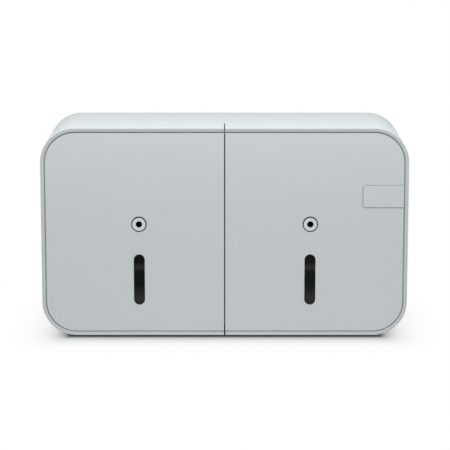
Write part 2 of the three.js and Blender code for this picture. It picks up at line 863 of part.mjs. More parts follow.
function lockPlug() {
  const frontEdgeY = panelFrontY - lockProud + lockFaceThickness + fitGap;
  const bodyBackY = retainerNearY - fitGap;
  const socketEndY = frontEdgeY + keySocketDepth;
  const boreEndY = plugTailBackY + fitGap - camScrewLength;
  const body = turned([
    [0, socketEndY],
    [keySocketRadius, socketEndY],
    [keySocketRadius, frontEdgeY],
    [plugRadius, frontEdgeY],
    [plugRadius, bodyBackY],
    [plugTailRadius, bodyBackY],
    [plugTailRadius, plugTailBackY],
    [0, plugTailBackY],
  ]);
  const reach = keySocketRadius + wardDepth;
  const ward = block(-reach, frontEdgeY - cutOver, -wardWidth / 2, reach, socketEndY, wardWidth / 2);
  const bore = rodAlongY(0, 0, camScrewRadius + runGap, boreEndY, plugTailBackY + cutOver);
  return cut(body, ward, bore);
}

function lockCam() {
  const bar = block(-camLength / 2, camFrontY, -camWidth / 2, camLength / 2, camBackY, camWidth / 2);
  return cut(bar, rodAlongY(0, 0, camScrewRadius + runGap, camFrontY - cutOver, camBackY + cutOver));
}

// Assembly

const dispenser = new THREE.Group();

function add(parent, name, solid, finish, place = [0, 0, 0]) {
  const mesh = new THREE.Mesh(toGeometry(solid), new THREE.MeshStandardMaterial(finishes[finish]));
  mesh.name = name;
  mesh.position.set(...place);
  parent.add(mesh);
}

function addRollHolder(sideName, side) {
  const holder = new THREE.Group();
  holder.position.set(side * bayOffset, 0, rollAxisHeight);
  add(holder, `${sideName}_axle`, axle(), 'inner');
  for (let i = 0; i < axleScrewCount; i += 1) {
    const seatY = axleFlangeFrontY + runGap + axleScrewHeadHeight;
    const { x, z } = screwPlace(0, i);
    const solid = screw(seatY, 1, axleScrewHeadRadius, axleScrewHeadHeight, axleScrewRadius, axleScrewLength);
    add(holder, `${sideName}_axle_screw_${i + 1}`, solid, 'steel', [x, 0, z - rollAxisHeight]);
  }
  add(holder, `${sideName}_brake_ring`, brakeRing(), 'brake');
  add(holder, `${sideName}_roll_hub`, rollHub(), 'hub');
  add(holder, `${sideName}_catch_socket`, catchSocket(), 'inner');
  const socketScrew = screw(
    socketFloorY - fitGap,
    1,
    socketScrewHeadRadius,
    socketScrewHeadHeight,
    socketScrewRadius,
    socketScrewLength,
  );
  add(holder, `${sideName}_socket_screw`, socketScrew, 'steel');
  dispenser.add(holder);
}

function addCover(sideName, side) {
  const cover = new THREE.Group();
  add(cover, `${sideName}_cover_shell`, coverShell(side), 'casing');
  add(cover, `${sideName}_face_panel`, side > 0 ? badgedPanel(side) : facePanel(side), 'panel');
  add(cover, `${sideName}_window_lens`, windowLens(side), 'smoked');
  if (side > 0) add(cover, `${sideName}_badge_plate`, badgePlate(side), 'panel');
  dispenser.add(cover);
}

function addLock(sideName, side) {
  const lock = new THREE.Group();
  lock.position.set(side * bayOffset, 0, rollAxisHeight);
  add(lock, `${sideName}_lock_housing`, lockHousing(), 'lockFace');
  add(lock, `${sideName}_lock_nut`, lockNut(), 'steel');
  add(lock, `${sideName}_plug_retainer`, plugRetainer(), 'steel');
  add(lock, `${sideName}_lock_plug`, lockPlug(), 'black');
  add(lock, `${sideName}_lock_cam`, lockCam(), 'steel');
  const seatY = camBackY + fitGap;
  const camScrew = screw(seatY, -1, camScrewHeadRadius, camScrewHeadHeight, camScrewRadius, camScrewLength);
  add(lock, `${sideName}_cam_screw`, camScrew, 'steel');
  dispenser.add(lock);
}

function addHingePins(sideName, side) {
  ['lower', 'upper'].forEach((level, i) => {
    add(dispenser, `${sideName}_${level}_hinge_pin`, hingePin(), 'steel', [side * hingeX, seamY, hingeHeights[i]]);
  });
}

function addTearBars(sideName, side) {
  const edgeNames = side < 0 ? ['outer', 'inner'] : ['inner', 'outer'];
  edgeNames.forEach((edgeName, edge) => {
    add(dispenser, `${sideName}_${edgeName}_tear_bar`, tearBar(side, edge), 'steel');
  });
}

add(dispenser, 'rear_casing', rearCasing(), 'casing');
add(dispenser, 'divider_wall', dividerWall(), 'inner');
for (const [sideName, side] of [['left', -1], ['right', 1]]) {
  addTearBars(sideName, side);
  addHingePins(sideName, side);
  addRollHolder(sideName, side);
  addCover(sideName, side);
  addLock(sideName, side);
}

export default dispenser;
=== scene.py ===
"""Looks of the double roll toilet paper dispenser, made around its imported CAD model.

Lengths are in metres, +Z is up and the covers face -Y. The origin is under the middle of the case, level with
its underside.
"""

import functools
import logging
import math
from collections.abc import Callable, Iterable, Sequence
from dataclasses import dataclass
from enum import Enum
from itertools import pairwise

import bmesh
import bpy
from mathutils import Matrix, Vector


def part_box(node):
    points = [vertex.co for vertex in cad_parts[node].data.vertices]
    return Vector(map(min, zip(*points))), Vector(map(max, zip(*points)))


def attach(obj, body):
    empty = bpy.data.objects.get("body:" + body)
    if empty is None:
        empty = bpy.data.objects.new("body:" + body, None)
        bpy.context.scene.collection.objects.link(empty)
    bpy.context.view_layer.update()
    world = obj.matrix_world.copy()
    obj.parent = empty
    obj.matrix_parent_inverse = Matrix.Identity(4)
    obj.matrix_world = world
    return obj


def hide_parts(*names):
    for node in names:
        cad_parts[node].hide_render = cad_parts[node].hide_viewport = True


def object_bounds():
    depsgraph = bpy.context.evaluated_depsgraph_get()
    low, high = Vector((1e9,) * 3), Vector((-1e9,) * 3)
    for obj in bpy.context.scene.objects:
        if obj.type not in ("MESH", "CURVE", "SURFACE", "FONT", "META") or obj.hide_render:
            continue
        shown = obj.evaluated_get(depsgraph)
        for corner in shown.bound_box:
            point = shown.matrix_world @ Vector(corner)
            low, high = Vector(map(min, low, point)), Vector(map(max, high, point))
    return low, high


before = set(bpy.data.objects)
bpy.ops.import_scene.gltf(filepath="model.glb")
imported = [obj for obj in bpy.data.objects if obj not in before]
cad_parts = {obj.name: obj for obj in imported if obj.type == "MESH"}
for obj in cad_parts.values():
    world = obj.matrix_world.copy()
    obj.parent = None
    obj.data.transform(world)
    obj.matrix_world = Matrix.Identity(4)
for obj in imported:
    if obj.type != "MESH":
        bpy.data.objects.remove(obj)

CAD_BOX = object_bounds()
LOG = logging.getLogger("dispenser")

MM = 0.001
OVERRUN = 1 * MM
LIP_LEAD = OVERRUN / 4
WELD_REACH = 0.002 * MM
SMALL_CORNER = 0.02 * MM
RIB_EDGE_PART = 6

ROUND_STEPS = 5
CORNER_STEPS = 24
HEX_SIDES = 6
HOLE_SIDES = 64
FINE_SIDES = 96

LIP_ANGLE = 75
NEARLY_STRAIGHT = math.radians(89)
NEARLY_FLAT = math.radians(0.3)
CREASE = 32
NUT_CREASE = 20
NORMAL_WEIGHT = 80

MIX_SHARE = 0
MIX_FIRST = 6
MIX_SECOND = 7
MIX_RESULT = 2
NOISE_MIDDLE = 0.5
NOISE_DETAIL = 2.0
FINE_NOISE_DETAIL = 3.0
NEUTRAL_GREY = (190, 190, 190)
SCREEN_MOST = 255
SCREEN_TOE = 0.04045
SCREEN_TOE_SLOPE = 12.92
SCREEN_SHIFT = 0.055
SCREEN_POWER = 2.4

Point = tuple[float, float]
Corner = tuple[float, float, float]
Colour = tuple[float, float, float, float]
OutlineAt = Callable[[float], list[Point]]
Object = bpy.types.Object
Socket = bpy.types.NodeSocket
Tree = bpy.types.NodeTree


class Choice(Enum):
    """A choice that the names of nodes and bodies hold."""

    @property
    def word(self) -> str:
        """The choice as those names write it."""
        return self.name.lower()


class Side(Choice):
    """The half of the dispenser that a piece belongs to, with its sign along X."""

    LEFT = -1
    RIGHT = 1


class Edge(Choice):
    """The edge of a paper outlet, with its sign away from the middle."""

    INNER = -1
    OUTER = 1


class Level(Choice):
    """The place of a hinge, from the floor up."""

    LOWER = 1
    UPPER = 2


class Across(Enum):
    """The axis that a plate is thick along, with the order of its outline's values."""

    X = "thickness, then Y and Z"
    Y = "X, thickness, Z"
    Z = "X, Y, thickness"

    def point(self, u: float, v: float, along: float) -> Vector:
        """Places a point of an outline in space, at its place along the thickness."""
        order = {Across.X: (along, u, v), Across.Y: (u, along, v), Across.Z: (u, v, along)}
        return Vector(order[self])


# Outlines


def arc(centre: Point, radius: float, start: float, end: float, steps: int) -> list[Point]:
    """Gives points along an arc between two angles in degrees, both ends included."""
    angles = [math.radians(start + (end - start) * i / steps) for i in range(steps + 1)]
    return [(centre[0] + radius * math.cos(a), centre[1] + radius * math.sin(a)) for a in angles]


def circle(centre: Point, radius: float, sides: int = HOLE_SIDES) -> list[Point]:
    """Gives the corners of a round outline, none of them twice."""
    return arc(centre, radius, 0, 360, sides)[:-1]


def rounded_box(low: Point, high: Point, radius: float, steps: int = ROUND_STEPS) -> list[Point]:
    """Gives a rectangle with round corners.

    Args:
        low: Its lowest corner.
        high: Its highest corner.
        radius: Radius of the four corners.
        steps: Number of stretches in each corner.

    Returns:
        The outline's points.
    """
    x0, z0, x1, z1 = low[0] + radius, low[1] + radius, high[0] - radius, high[1] - radius
    return [
        *arc((x1, z0), radius, -90, 0, steps),
        *arc((x1, z1), radius, 0, 90, steps),
        *arc((x0, z1), radius, 90, 180, steps),
        *arc((x0, z0), radius, 180, 270, steps),
    ]


def level_bar(start: float, end: float, middle: float, half: float) -> list[Point]:
    """Gives a level bar of a given half height, with round corners."""
    return rounded_box((start, middle - half), (end, middle + half), half / 2)


def upright_slot(centre: Point, width: float, length: float) -> list[Point]:
    """Gives an upright slot with round ends.

    Args:
        centre: Middle of the slot.
        width: Its width.
        length: Its whole height.

    Returns:
        The outline's points.
    """
    reach = (length - width) / 2
    top = arc((centre[0], centre[1] + reach), width / 2, 0, 180, CORNER_STEPS)
    bottom = arc((centre[0], centre[1] - reach), width / 2, 180, 360, CORNER_STEPS)
    return [*top, *bottom]


def fillet(corners: Sequence[Corner], steps: int = ROUND_STEPS) -> list[Point]:
    """Rounds the corners of a closed polygon.

    Args:
        corners: Each corner as (x, y, radius), where a radius of zero leaves it sharp.
        steps: Number of stretches in each rounded corner.

    Returns:
        The points of the rounded outline.
    """
    points: list[Point] = []
    for i, (x, y, radius) in enumerate(corners):
        here = Vector((x, y))
        before = (Vector(corners[i - 1][:2]) - here).normalized()
        after = (Vector(corners[(i + 1) % len(corners)][:2]) - here).normalized()
        half = before.angle(after) / 2
        if radius <= 0 or half > NEARLY_STRAIGHT:
            points.append((x, y))
            continue
        middle = here + (before + after).normalized() * (radius / math.sin(half))
        start = here + before * (radius / math.tan(half)) - middle
        end = here + after * (radius / math.tan(half)) - middle
        turn = start.angle_signed(end)
        points += [tuple(middle + Matrix.Rotation(-turn * k / steps, 2) @ start) for k in range(steps + 1)]
    return points


# Bodies


def link(bm: bmesh.types.BMesh, name: str = "body") -> Object:
    """Makes an object of a finished mesh.

    Args:
        bm: The mesh, which is freed.
        name: Name of the object.

    Returns:
        The object, in the scene.
    """
    bmesh.ops.recalc_face_normals(bm, faces=bm.faces)
    mesh = bpy.data.meshes.new(name)
    bm.to_mesh(mesh)
    bm.free()
    obj = bpy.data.objects.new(name, mesh)
    bpy.context.scene.collection.objects.link(obj)
    return obj


def loft(loops: Sequence[Sequence[Vector]]) -> Object:
    """Joins loops of equal length, from one end to the other, to a closed body with flat ends.

    Args:
        loops: The loops.

    Returns:
        The closed body.
    """
    bm = bmesh.new()
    rings = [[bm.verts.new(p) for p in loop] for loop in loops]
    for near, far in pairwise(rings):
        for i, vert in enumerate(near):
            bm.faces.new((near[i - 1], vert, far[i], far[i - 1]))
    bm.faces.new(rings[0])
    bm.faces.new(rings[-1])
    return link(bm)


def stack(outline_at: OutlineAt, stations: Iterable[Point], across: Across = Across.Y) -> Object:
    """Makes a body of one outline at stations of (inset, place along the thickness)."""
    return loft([[across.point(u, v, along) for u, v in outline_at(inset)] for inset, along in stations])


def slab(
    outline_at: OutlineAt,
    near: float,
    far: float,
    near_round: float = 0,
    far_round: float = 0,
    across: Across = Across.Y,
) -> Object:
    """Makes a plate whose outer edges may be round.

    Args:
        outline_at: Gives the outline, drawn in by an inset.
        near: First plane.
        far: Last plane.
        near_round: Radius of the edge at the first plane.
        far_round: Radius of the edge at the last plane.
        across: The axis of the thickness.

    Returns:
        The plate.
    """
    way = math.copysign(1, far - near)
    turns = [math.radians(90 * i / ROUND_STEPS) for i in range(ROUND_STEPS + 1)]
    stations = [(near_round * (1 - math.sin(a)), near + way * near_round * (1 - math.cos(a))) for a in turns]
    stations += [(far_round * (1 - math.cos(a)), far - way * far_round * (1 - math.sin(a))) for a in turns]
    return stack(outline_at, dict.fromkeys(stations), across)


def opening(outline_at: OutlineAt, near: float, far: float, lip: float) -> Object:
    """Makes the tool for a hole along Y whose edge at the surface comes out round.

    Args:
        outline_at: Gives the outline, drawn in by an inset.
        near: Plane of the surface that the hole opens in.
        far: Where the hole ends.
        lip: Radius of the round edge.

    Returns:
        The tool to cut with.
    """
    way = math.copysign(1, far - near)
    steep = [math.radians(LIP_ANGLE * i / ROUND_STEPS) for i in range(ROUND_STEPS, -1, -1)]
    stations = [(-lip * (1 - math.cos(b)), near + way * lip * (1 - math.sin(b))) for b in steep]
    stations.insert(0, (stations[0][0] - OVERRUN, near - way * LIP_LEAD))
    return stack(outline_at, [*stations, (0, far)])


def plate(outline: Sequence[Point], near: float, far: float, across: Across = Across.Y) -> Object:
    """Makes a plate with sharp edges between two planes."""
    return stack(lambda _: outline, [(0, near), (0, far)], across)


def block(low: Sequence[float], high: Sequence[float]) -> Object:
    """Makes a plain block between two corners, to join or cut with."""
    (x0, x1), (y0, y1), (z0, z1) = (sorted(pair) for pair in zip(low, high, strict=True))
    return plate([(x0, y0), (x1, y0), (x1, y1), (x0, y1)], z0, z1, Across.Z)


def rod(
    centre: Point, radius: float, near: float, far: float, edge: float = 0, across: Across = Across.Y
) -> Object:
    """Makes a straight round rod between two planes, with edges of a given radius."""
    return slab(lambda inset: circle(centre, radius - inset), near, far, edge, edge, across)


def spokes(
    centre: Point, reach: Point, planes: Point, thickness: float, count: int, turned: float = 0
) -> list[Object]:
    """Makes flat ribs that run out evenly from an axis along Y.

    Args:
        centre: Where the axis lies.
        reach: Radius where the ribs start and where they end.
        planes: Their first and last plane along Y.
        thickness: Their thickness, a sixth of which is the radius of their edges.
        count: Their number.
        turned: How far they are turned on, as a share of the angle between two of them.

    Returns:
        The ribs.
    """

    def outline(turn: Matrix, inset: float) -> list[Point]:
        """A rib's outline, turned about the axis and drawn in by an inset."""
        corners = level_bar(reach[0] + inset, reach[1] - inset, 0, thickness / 2 - inset)
        return [tuple(Vector(centre) + turn @ Vector(p)) for p in corners]

    turns = [Matrix.Rotation(math.radians(360 * (i + turned) / count), 2) for i in range(count)]
    return [slab(functools.partial(outline, turn), *planes, thickness / RIB_EDGE_PART) for turn in turns]


def lathe(profile: Sequence[Point], centre: Point) -> Object:
    """Turns a closed profile about an axis along Y.

    Args:
        profile: The profile's points as (radius, y).
        centre: Where the axis lies, as (x, z).

    Returns:
        The turned body.
    """
    bm = bmesh.new()
    rings: list[list[bmesh.types.BMVert]] = []
    for radius, y in profile:
        if radius < WELD_REACH:
            rings.append([bm.verts.new((centre[0], y, centre[1]))] * FINE_SIDES)
        else:
            rings.append([bm.verts.new((x, y, z)) for x, z in circle(centre, radius, FINE_SIDES)])
    for i, near in enumerate(rings):
        far = rings[(i + 1) % len(rings)]
        for k in range(FINE_SIDES):
            corners = list(dict.fromkeys((near[k - 1], near[k], far[k], far[k - 1])))
            if len(corners) > 2:
                bm.faces.new(corners)
    return link(bm)


def combine(
    target: Object,
    joined: Iterable[Object] = (),
    cut: Iterable[Object] = (),
    kept: Iterable[Object] = (),
) -> Object:
    """Joins bodies to a body, cuts others from it and keeps what lies in the last, and uses all of them up.

    Args:
        target: The body that is changed.
        joined: Bodies to join.
        cut: Bodies to cut away.
        kept: Bodies that what is kept lies in.

    Returns:
        The same body.
    """
    tools = [(o, "UNION") for o in joined]
    tools += [(o, "DIFFERENCE") for o in cut]
    tools += [(o, "INTERSECT") for o in kept]
    for tool, operation in tools:
        step = target.modifiers.new(tool.name, "BOOLEAN")
        step.object = tool
        step.operation = operation
        step.solver = "MANIFOLD"
    evaluated = target.evaluated_get(bpy.context.evaluated_depsgraph_get())
    made = bpy.data.meshes.new_from_object(evaluated)
    target.modifiers.clear()
    target.data = made
    for tool, _ in tools:
        bpy.data.objects.remove(tool)
    return target


def polish(obj: Object, crease: float = CREASE) -> Object:
    """Takes out needless edges and gives round stretches a smooth surface.

    Args:
        obj: The body.
        crease: Angle in degrees past which an edge stays sharp.

    Returns:
        The same body.
    """
    bm = bmesh.new()
    bm.from_mesh(obj.data)
    bmesh.ops.remove_doubles(bm, verts=bm.verts, dist=WELD_REACH)
    bmesh.ops.dissolve_limit(bm, angle_limit=NEARLY_FLAT, verts=bm.verts, edges=bm.edges)
    bm.to_mesh(obj.data)
    bm.free()
    obj.data.shade_smooth()
    obj.data.set_sharp_from_angle(angle=math.radians(crease))
    even = obj.modifiers.new("even_normals", "WEIGHTED_NORMAL")
    even.keep_sharp = True
    even.weight = NORMAL_WEIGHT
    return obj


# Node trees


def linear(share: float) -> float:
    """Gives the linear share of a colour channel from its share as a screen shows it."""
    curve = ((share + SCREEN_SHIFT) / (1 + SCREEN_SHIFT)) ** SCREEN_POWER
    return share / SCREEN_TOE_SLOPE if share <= SCREEN_TOE else curve


def srgb(red: float, green: float, blue: float) -> Colour:
    """Gives the opaque linear colour of red, green and blue as a screen shows them."""
    return (*(linear(channel / SCREEN_MOST) for channel in (red, green, blue)), 1.0)


def grey(tone: float) -> Colour:
    """Gives a linear grey with full opacity."""
    return (tone, tone, tone, 1.0)


class Wiring:
    """A node tree that is being wired."""

    def __init__(self, tree: Tree) -> None:
        """Starts on a tree."""
        self.tree = tree

    def node(self, kind: str, inputs: dict | None = None, **settings: object) -> bpy.types.Node:
        """Adds a node.

        Args:
            kind: Its type name after "ShaderNode".
            inputs: Values or sockets for its inputs, by name or number.
            **settings: Other settings of the node.

        Returns:
            The node.
        """
        node = self.tree.nodes.new(f"ShaderNode{kind}")
        for key, value in settings.items():
            setattr(node, key, value)
        for key, value in (inputs or {}).items():
            if isinstance(value, Socket):
                self.tree.links.new(value, node.inputs[key])
            else:
                node.inputs[key].default_value = value
        return node

    def sum(self, operation: str, *values: object) -> Socket:
        """Adds a Math node for an operation on values or sockets, and gives its result."""
        return self.node("Math", dict(enumerate(values)), operation=operation).outputs[0]

    def spot(self) -> Socket:
        """The place on the object."""
        return self.node("TexCoord").outputs["Object"]

    def axes(self) -> bpy.types.bpy_prop_collection:
        """The place on the object, split into its X, Y and Z."""
        return self.node("SeparateXYZ", {0: self.spot()}).outputs

    def joined(self, **parts: object) -> Socket:
        """The vector with the given parts, and zero for the others."""
        return self.node("CombineXYZ", parts).outputs[0]

    def length(self, vector: Socket) -> Socket:
        """The length of a vector."""
        return self.node("VectorMath", {0: vector}, operation="LENGTH").outputs["Value"]

    def swing(self, place: Socket, scale: object, detail: float = NOISE_DETAIL) -> Socket:
        """Adds a noise of a given scale and detail, as a value about zero."""
        noise = self.node("TexNoise", {"Vector": place, "Scale": scale, "Detail": detail})
        return self.sum("SUBTRACT", noise.outputs[0], NOISE_MIDDLE)

    def mix(self, share: object, first: object, second: object) -> Socket:
        """Adds a mix of two colours, with a given share of the second."""
        inputs = {MIX_SHARE: share, MIX_FIRST: first, MIX_SECOND: second}
        return self.node("Mix", inputs, data_type="RGBA").outputs[MIX_RESULT]


@dataclass
class SurfaceEffect:
    """A node group that varies colour, gloss and relief, for several finishes to use."""

    name: str
    inputs: dict[str, object]

    def __post_init__(self) -> None:
        """Starts the group with its inputs and outputs."""
        tree = bpy.data.node_groups.new(self.name, "ShaderNodeTree")
        given = {"Base": srgb(*NEUTRAL_GREY), "Gloss Loss": 0.5, **self.inputs}
        for key, value in given.items():
            kind = "NodeSocketFloat" if isinstance(value, float) else "NodeSocketColor"
            tree.interface.new_socket(name=key, in_out="INPUT", socket_type=kind).default_value = value
        for key, kind in {"Colour": "Color", "Roughness": "Float", "Height": "Float"}.items():
            tree.interface.new_socket(name=key, in_out="OUTPUT", socket_type=f"NodeSocket{kind}")
        self.given = tree.nodes.new("NodeGroupInput").outputs
        self.made = tree.nodes.new("NodeGroupOutput").inputs
        self.wiring = Wiring(tree)

    def scale(self, size: str) -> Socket:
        """The noise scale that gives marks of the size held by an input."""
        return self.wiring.sum("DIVIDE", 1.0, self.given[size])

    def lined(self, lines: Socket, tone_swing: float, gloss_swing: float) -> Tree:
        """Wires the outputs of a group whose lines change tone, gloss and height alike."""
        tone = self.wiring.sum("MULTIPLY_ADD", lines, tone_swing, 1.0)
        return self.end(tone, self.wiring.sum("MULTIPLY", lines, gloss_swing), lines)

    def end(self, tone: Socket, loss: Socket, height: Socket) -> Tree:
        """Wires the outputs.

        Args:
            tone: Factor on the base colour's value.
            loss: What is added to the loss of gloss.
            height: The relief.

        Returns:
            The finished group.
        """
        colour = self.wiring.node("HueSaturation", {"Value": tone, "Color": self.given["Base"]})
        sources = (colour.outputs[0], self.wiring.sum("ADD", self.given["Gloss Loss"], loss), height)
        for source, key in zip(sources, ("Colour", "Roughness", "Height"), strict=True):
            self.wiring.tree.links.new(source, self.made[key])
        return self.wiring.tree


@functools.cache
def grain_effect() -> Tree:
    """Makes a moulded or painted surface: fine grain, with a slow drift of tone and gloss.

    Returns:
        The group.
    """
    made = SurfaceEffect("Fine grain", {"Grain Size": 0.4 * MM, "Drift Size": 60 * MM, "Drift": 0.02})
    wiring = made.wiring
    gloss_swing = 0.12
    place = wiring.spot()
    grain = wiring.swing(place, made.scale("Grain Size"), FINE_NOISE_DETAIL)
    drift = wiring.swing(place, made.scale("Drift Size"))
    tone = wiring.sum("MULTIPLY_ADD", wiring.sum("ADD", grain, drift), made.given["Drift"], 1.0)
    return made.end(tone, wiring.sum("MULTIPLY", drift, gloss_swing), grain)


@functools.cache
def brushed_effect() -> Tree:
    """Makes rolled metal: lines along Y that change gloss and height.

    Returns:
        The group.
    """
    made = SurfaceEffect("Brushed lines", {"Line Size": 0.25 * MM, "Stretch": 0.03})
    parts = made.wiring.axes()
    along = made.wiring.sum("MULTIPLY", parts["Y"], made.given["Stretch"])
    squeezed = made.wiring.joined(X=parts["X"], Y=along, Z=parts["Z"])
    return made.lined(made.wiring.swing(squeezed, made.scale("Line Size")), tone_swing=0.16, gloss_swing=0.25)


@functools.cache
def turned_effect() -> Tree:
    """Makes marks of the lathe: fine rings about the roll axes, which lie alike on both sides.

    Returns:
        The group.
    """
    made = SurfaceEffect("Turned rings", {"Line Size": 0.2 * MM, "Axis X": 92 * MM, "Axis Z": 122 * MM})
    wiring = made.wiring
    parts = wiring.axes()
    out = wiring.sum("SUBTRACT", wiring.sum("ABSOLUTE", parts["X"]), made.given["Axis X"])
    up = wiring.sum("SUBTRACT", parts["Z"], made.given["Axis Z"])
    section = wiring.joined(X=wiring.length(wiring.joined(X=out, Y=up)), Y=parts["Y"])
    return made.lined(wiring.swing(section, made.scale("Line Size")), tone_swing=0.1, gloss_swing=0.2)


# Finishes


def node_centre(node: str) -> Point:
    """The middle of a CAD node as (x, z)."""
    low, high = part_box(node)
    return (low.x + high.x) / 2, (low.z + high.z) / 2


@dataclass(frozen=True)
class Finish:
    """A moulded or painted surface with fine grain.

    Attributes:
        name: Name of the material.
        slot: The record's material slot; it is not used.
        colour: Its colour as a screen shows it.
        roughness: Its loss of gloss.
        metallic: One for bare metal.
        gloss: How much it reflects head on, where a half is usual for plastic.
        relief: Depth of the effect's relief.
        grain: Size of its grain or lines.
        drift: How far its tone drifts.
    """

    name: str
    slot: str
    colour: tuple[float, float, float]
    roughness: float
    metallic: float = 0.0
    gloss: float = 0.5
    relief: float = 0.01 * MM
    grain: float = 0.4 * MM
    drift: float = 0.02

    def effect(self) -> tuple[Tree, dict[str, float]]:
        """The group that varies the surface, with this finish's own values."""
        return grain_effect(), {"Grain Size": self.grain, "Drift": self.drift}

    def colour_socket(self, wiring: Wiring, group: bpy.types.Node) -> Socket:
        """The colour that goes to the shader."""
        return group.outputs["Colour"]

    @functools.cache
    def material(self) -> bpy.types.Material:
        """Builds the material once.

        Returns:
            The material.
        """
        material = bpy.data.materials.new(self.name)
        material.use_nodes = True
        wiring = Wiring(material.node_tree)
        shader = material.node_tree.nodes["Principled BSDF"]
        tree, values = self.effect()
        group = wiring.node("Group", node_tree=tree)
        for key, value in {"Base": srgb(*self.colour), "Gloss Loss": self.roughness, **values}.items():
            group.inputs[key].default_value = value
        bump = wiring.node("Bump", {"Height": group.outputs["Height"], "Distance": self.relief})
        shader.inputs["Metallic"].default_value = self.metallic
        shader.inputs["Specular IOR Level"].default_value = self.gloss
        links = material.node_tree.links
        links.new(self.colour_socket(wiring, group), shader.inputs["Base Color"])
        links.new(group.outputs["Roughness"], shader.inputs["Roughness"])
        links.new(bump.outputs[0], shader.inputs["Normal"])
        return material


@dataclass(frozen=True)
class Brushed(Finish):
    """Rolled steel with lines along Y."""

    metallic: float = 1.0
    relief: float = 0.004 * MM
    grain: float = 0.25 * MM

    def effect(self) -> tuple[Tree, dict[str, float]]:
        """The group of brushed lines."""
        return brushed_effect(), {"Line Size": self.grain}


@dataclass(frozen=True)
class Turned(Finish):
    """Turned metal with rings about the roll axes."""

    metallic: float = 1.0
    relief: float = 0.004 * MM
    grain: float = 0.2 * MM

    def effect(self) -> tuple[Tree, dict[str, float]]:
        """The group of turned rings, about the axes of the locks."""
        x, z = node_centre("right_lock_housing")
        return turned_effect(), {"Line Size": self.grain, "Axis X": x, "Axis Z": z}


@dataclass(frozen=True)
class Smoked(Finish):
    """Smoked plastic with painted highlights: soft lighter bands and upright streaks painted into its colour.

    Attributes:
        glow: The painted highlight's colour where the bands are brightest.
        bands: Height of each painted highlight band's middle and its half width.
        band_share: How strongly the painted highlight bands show.
        streak: Width of the upright painted highlight streaks.
        streak_share: How strongly the painted highlight streaks show.
    """

    # Painted highlight: lighter bands and streaks painted into the lens colour.
    glow: tuple[float, float, float] = (54, 53, 52)
    bands: tuple[Point, Point] = ((75 * MM, 5 * MM), (40 * MM, 16 * MM))
    band_share: float = 0.6
    streak: float = 1.6 * MM
    streak_share: float = 0.5

    def colour_socket(self, wiring: Wiring, group: bpy.types.Node) -> Socket:
        """Mixes the painted highlight in, in bands across the height and streaks across the width.

        Args:
            wiring: The material's wiring.
            group: The group that varies the surface.

        Returns:
            The mixed colour.
        """
        # Painted highlight: lighter bands by height and streaks by noise, mixed into the lens colour.
        parts = wiring.axes()
        light = 0.0
        for middle, half in self.bands:
            off = wiring.sum("ABSOLUTE", wiring.sum("SUBTRACT", parts["Z"], middle))
            light = wiring.sum("MAXIMUM", light, wiring.sum("SUBTRACT", 1.0, wiring.sum("DIVIDE", off, half)))
        streaks = wiring.swing(wiring.joined(X=parts["X"]), 1 / self.streak)
        bands = wiring.sum("MULTIPLY", light, self.band_share)
        share = wiring.sum("MULTIPLY_ADD", streaks, self.streak_share, bands)
        return wiring.mix(share, group.outputs["Colour"], srgb(*self.glow))


CASING = Finish("casing_satin", "casing", (184, 190, 192), 0.5, gloss=0.3)
PANEL = Finish("panel_satin", "panel", (192, 197, 200), 0.48)
BADGE = Finish("badge_satin", "panel", (193, 198, 201), 0.4)
INNER = Finish("inner_moulding", "inner_plastic", (178, 182, 184), 0.55)
HUB = Finish("hub_moulding", "hub_plastic", (92, 97, 100), 0.5)
# Black of the plug; on the lock face's round edges and key hole it is painted shade.
LOCK_BLACK = Finish("lock_black", "lock_black", (4, 4, 5), 0.8, gloss=0.1)
# The smoked window's colour carries painted highlights in bands and streaks.
SMOKED = Smoked("smoked_window", "smoked_window", (6, 7, 7), 0.2, gloss=0.08, relief=0.001 * MM)
BRAKE = Finish("brake_felt", "brake", (44, 44, 45), 0.95, relief=0.1 * MM, grain=0.8 * MM)
LOCK_FACE = Turned("lock_face_satin", "lock_face", (200, 204, 206), 0.45, metallic=0.3)
STEEL = Brushed("rolled_steel", "steel", (196, 198, 199), 0.32)
TURNED_STEEL = Turned("turned_steel", "steel", (190, 192, 193), 0.3)


def install(name: str, piece: Object, body: str, finish: Finish, node: str) -> None:
    """Names a piece, gives it its finish and sets it on its body in the place of a CAD node.

    Args:
        name: Name of the piece.
        piece: The piece.
        body: The body that it moves with.
        finish: Its finish.
        node: The CAD node that it stands for.
    """
    piece.name = name
    piece.data.name = name
    piece.data.materials.clear()
    piece.data.materials.append(finish.material())
    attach(piece, body)
    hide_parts(node)
    LOG.info("%s rides on %s, %d faces", piece.name, body, len(piece.data.polygons))


# Case


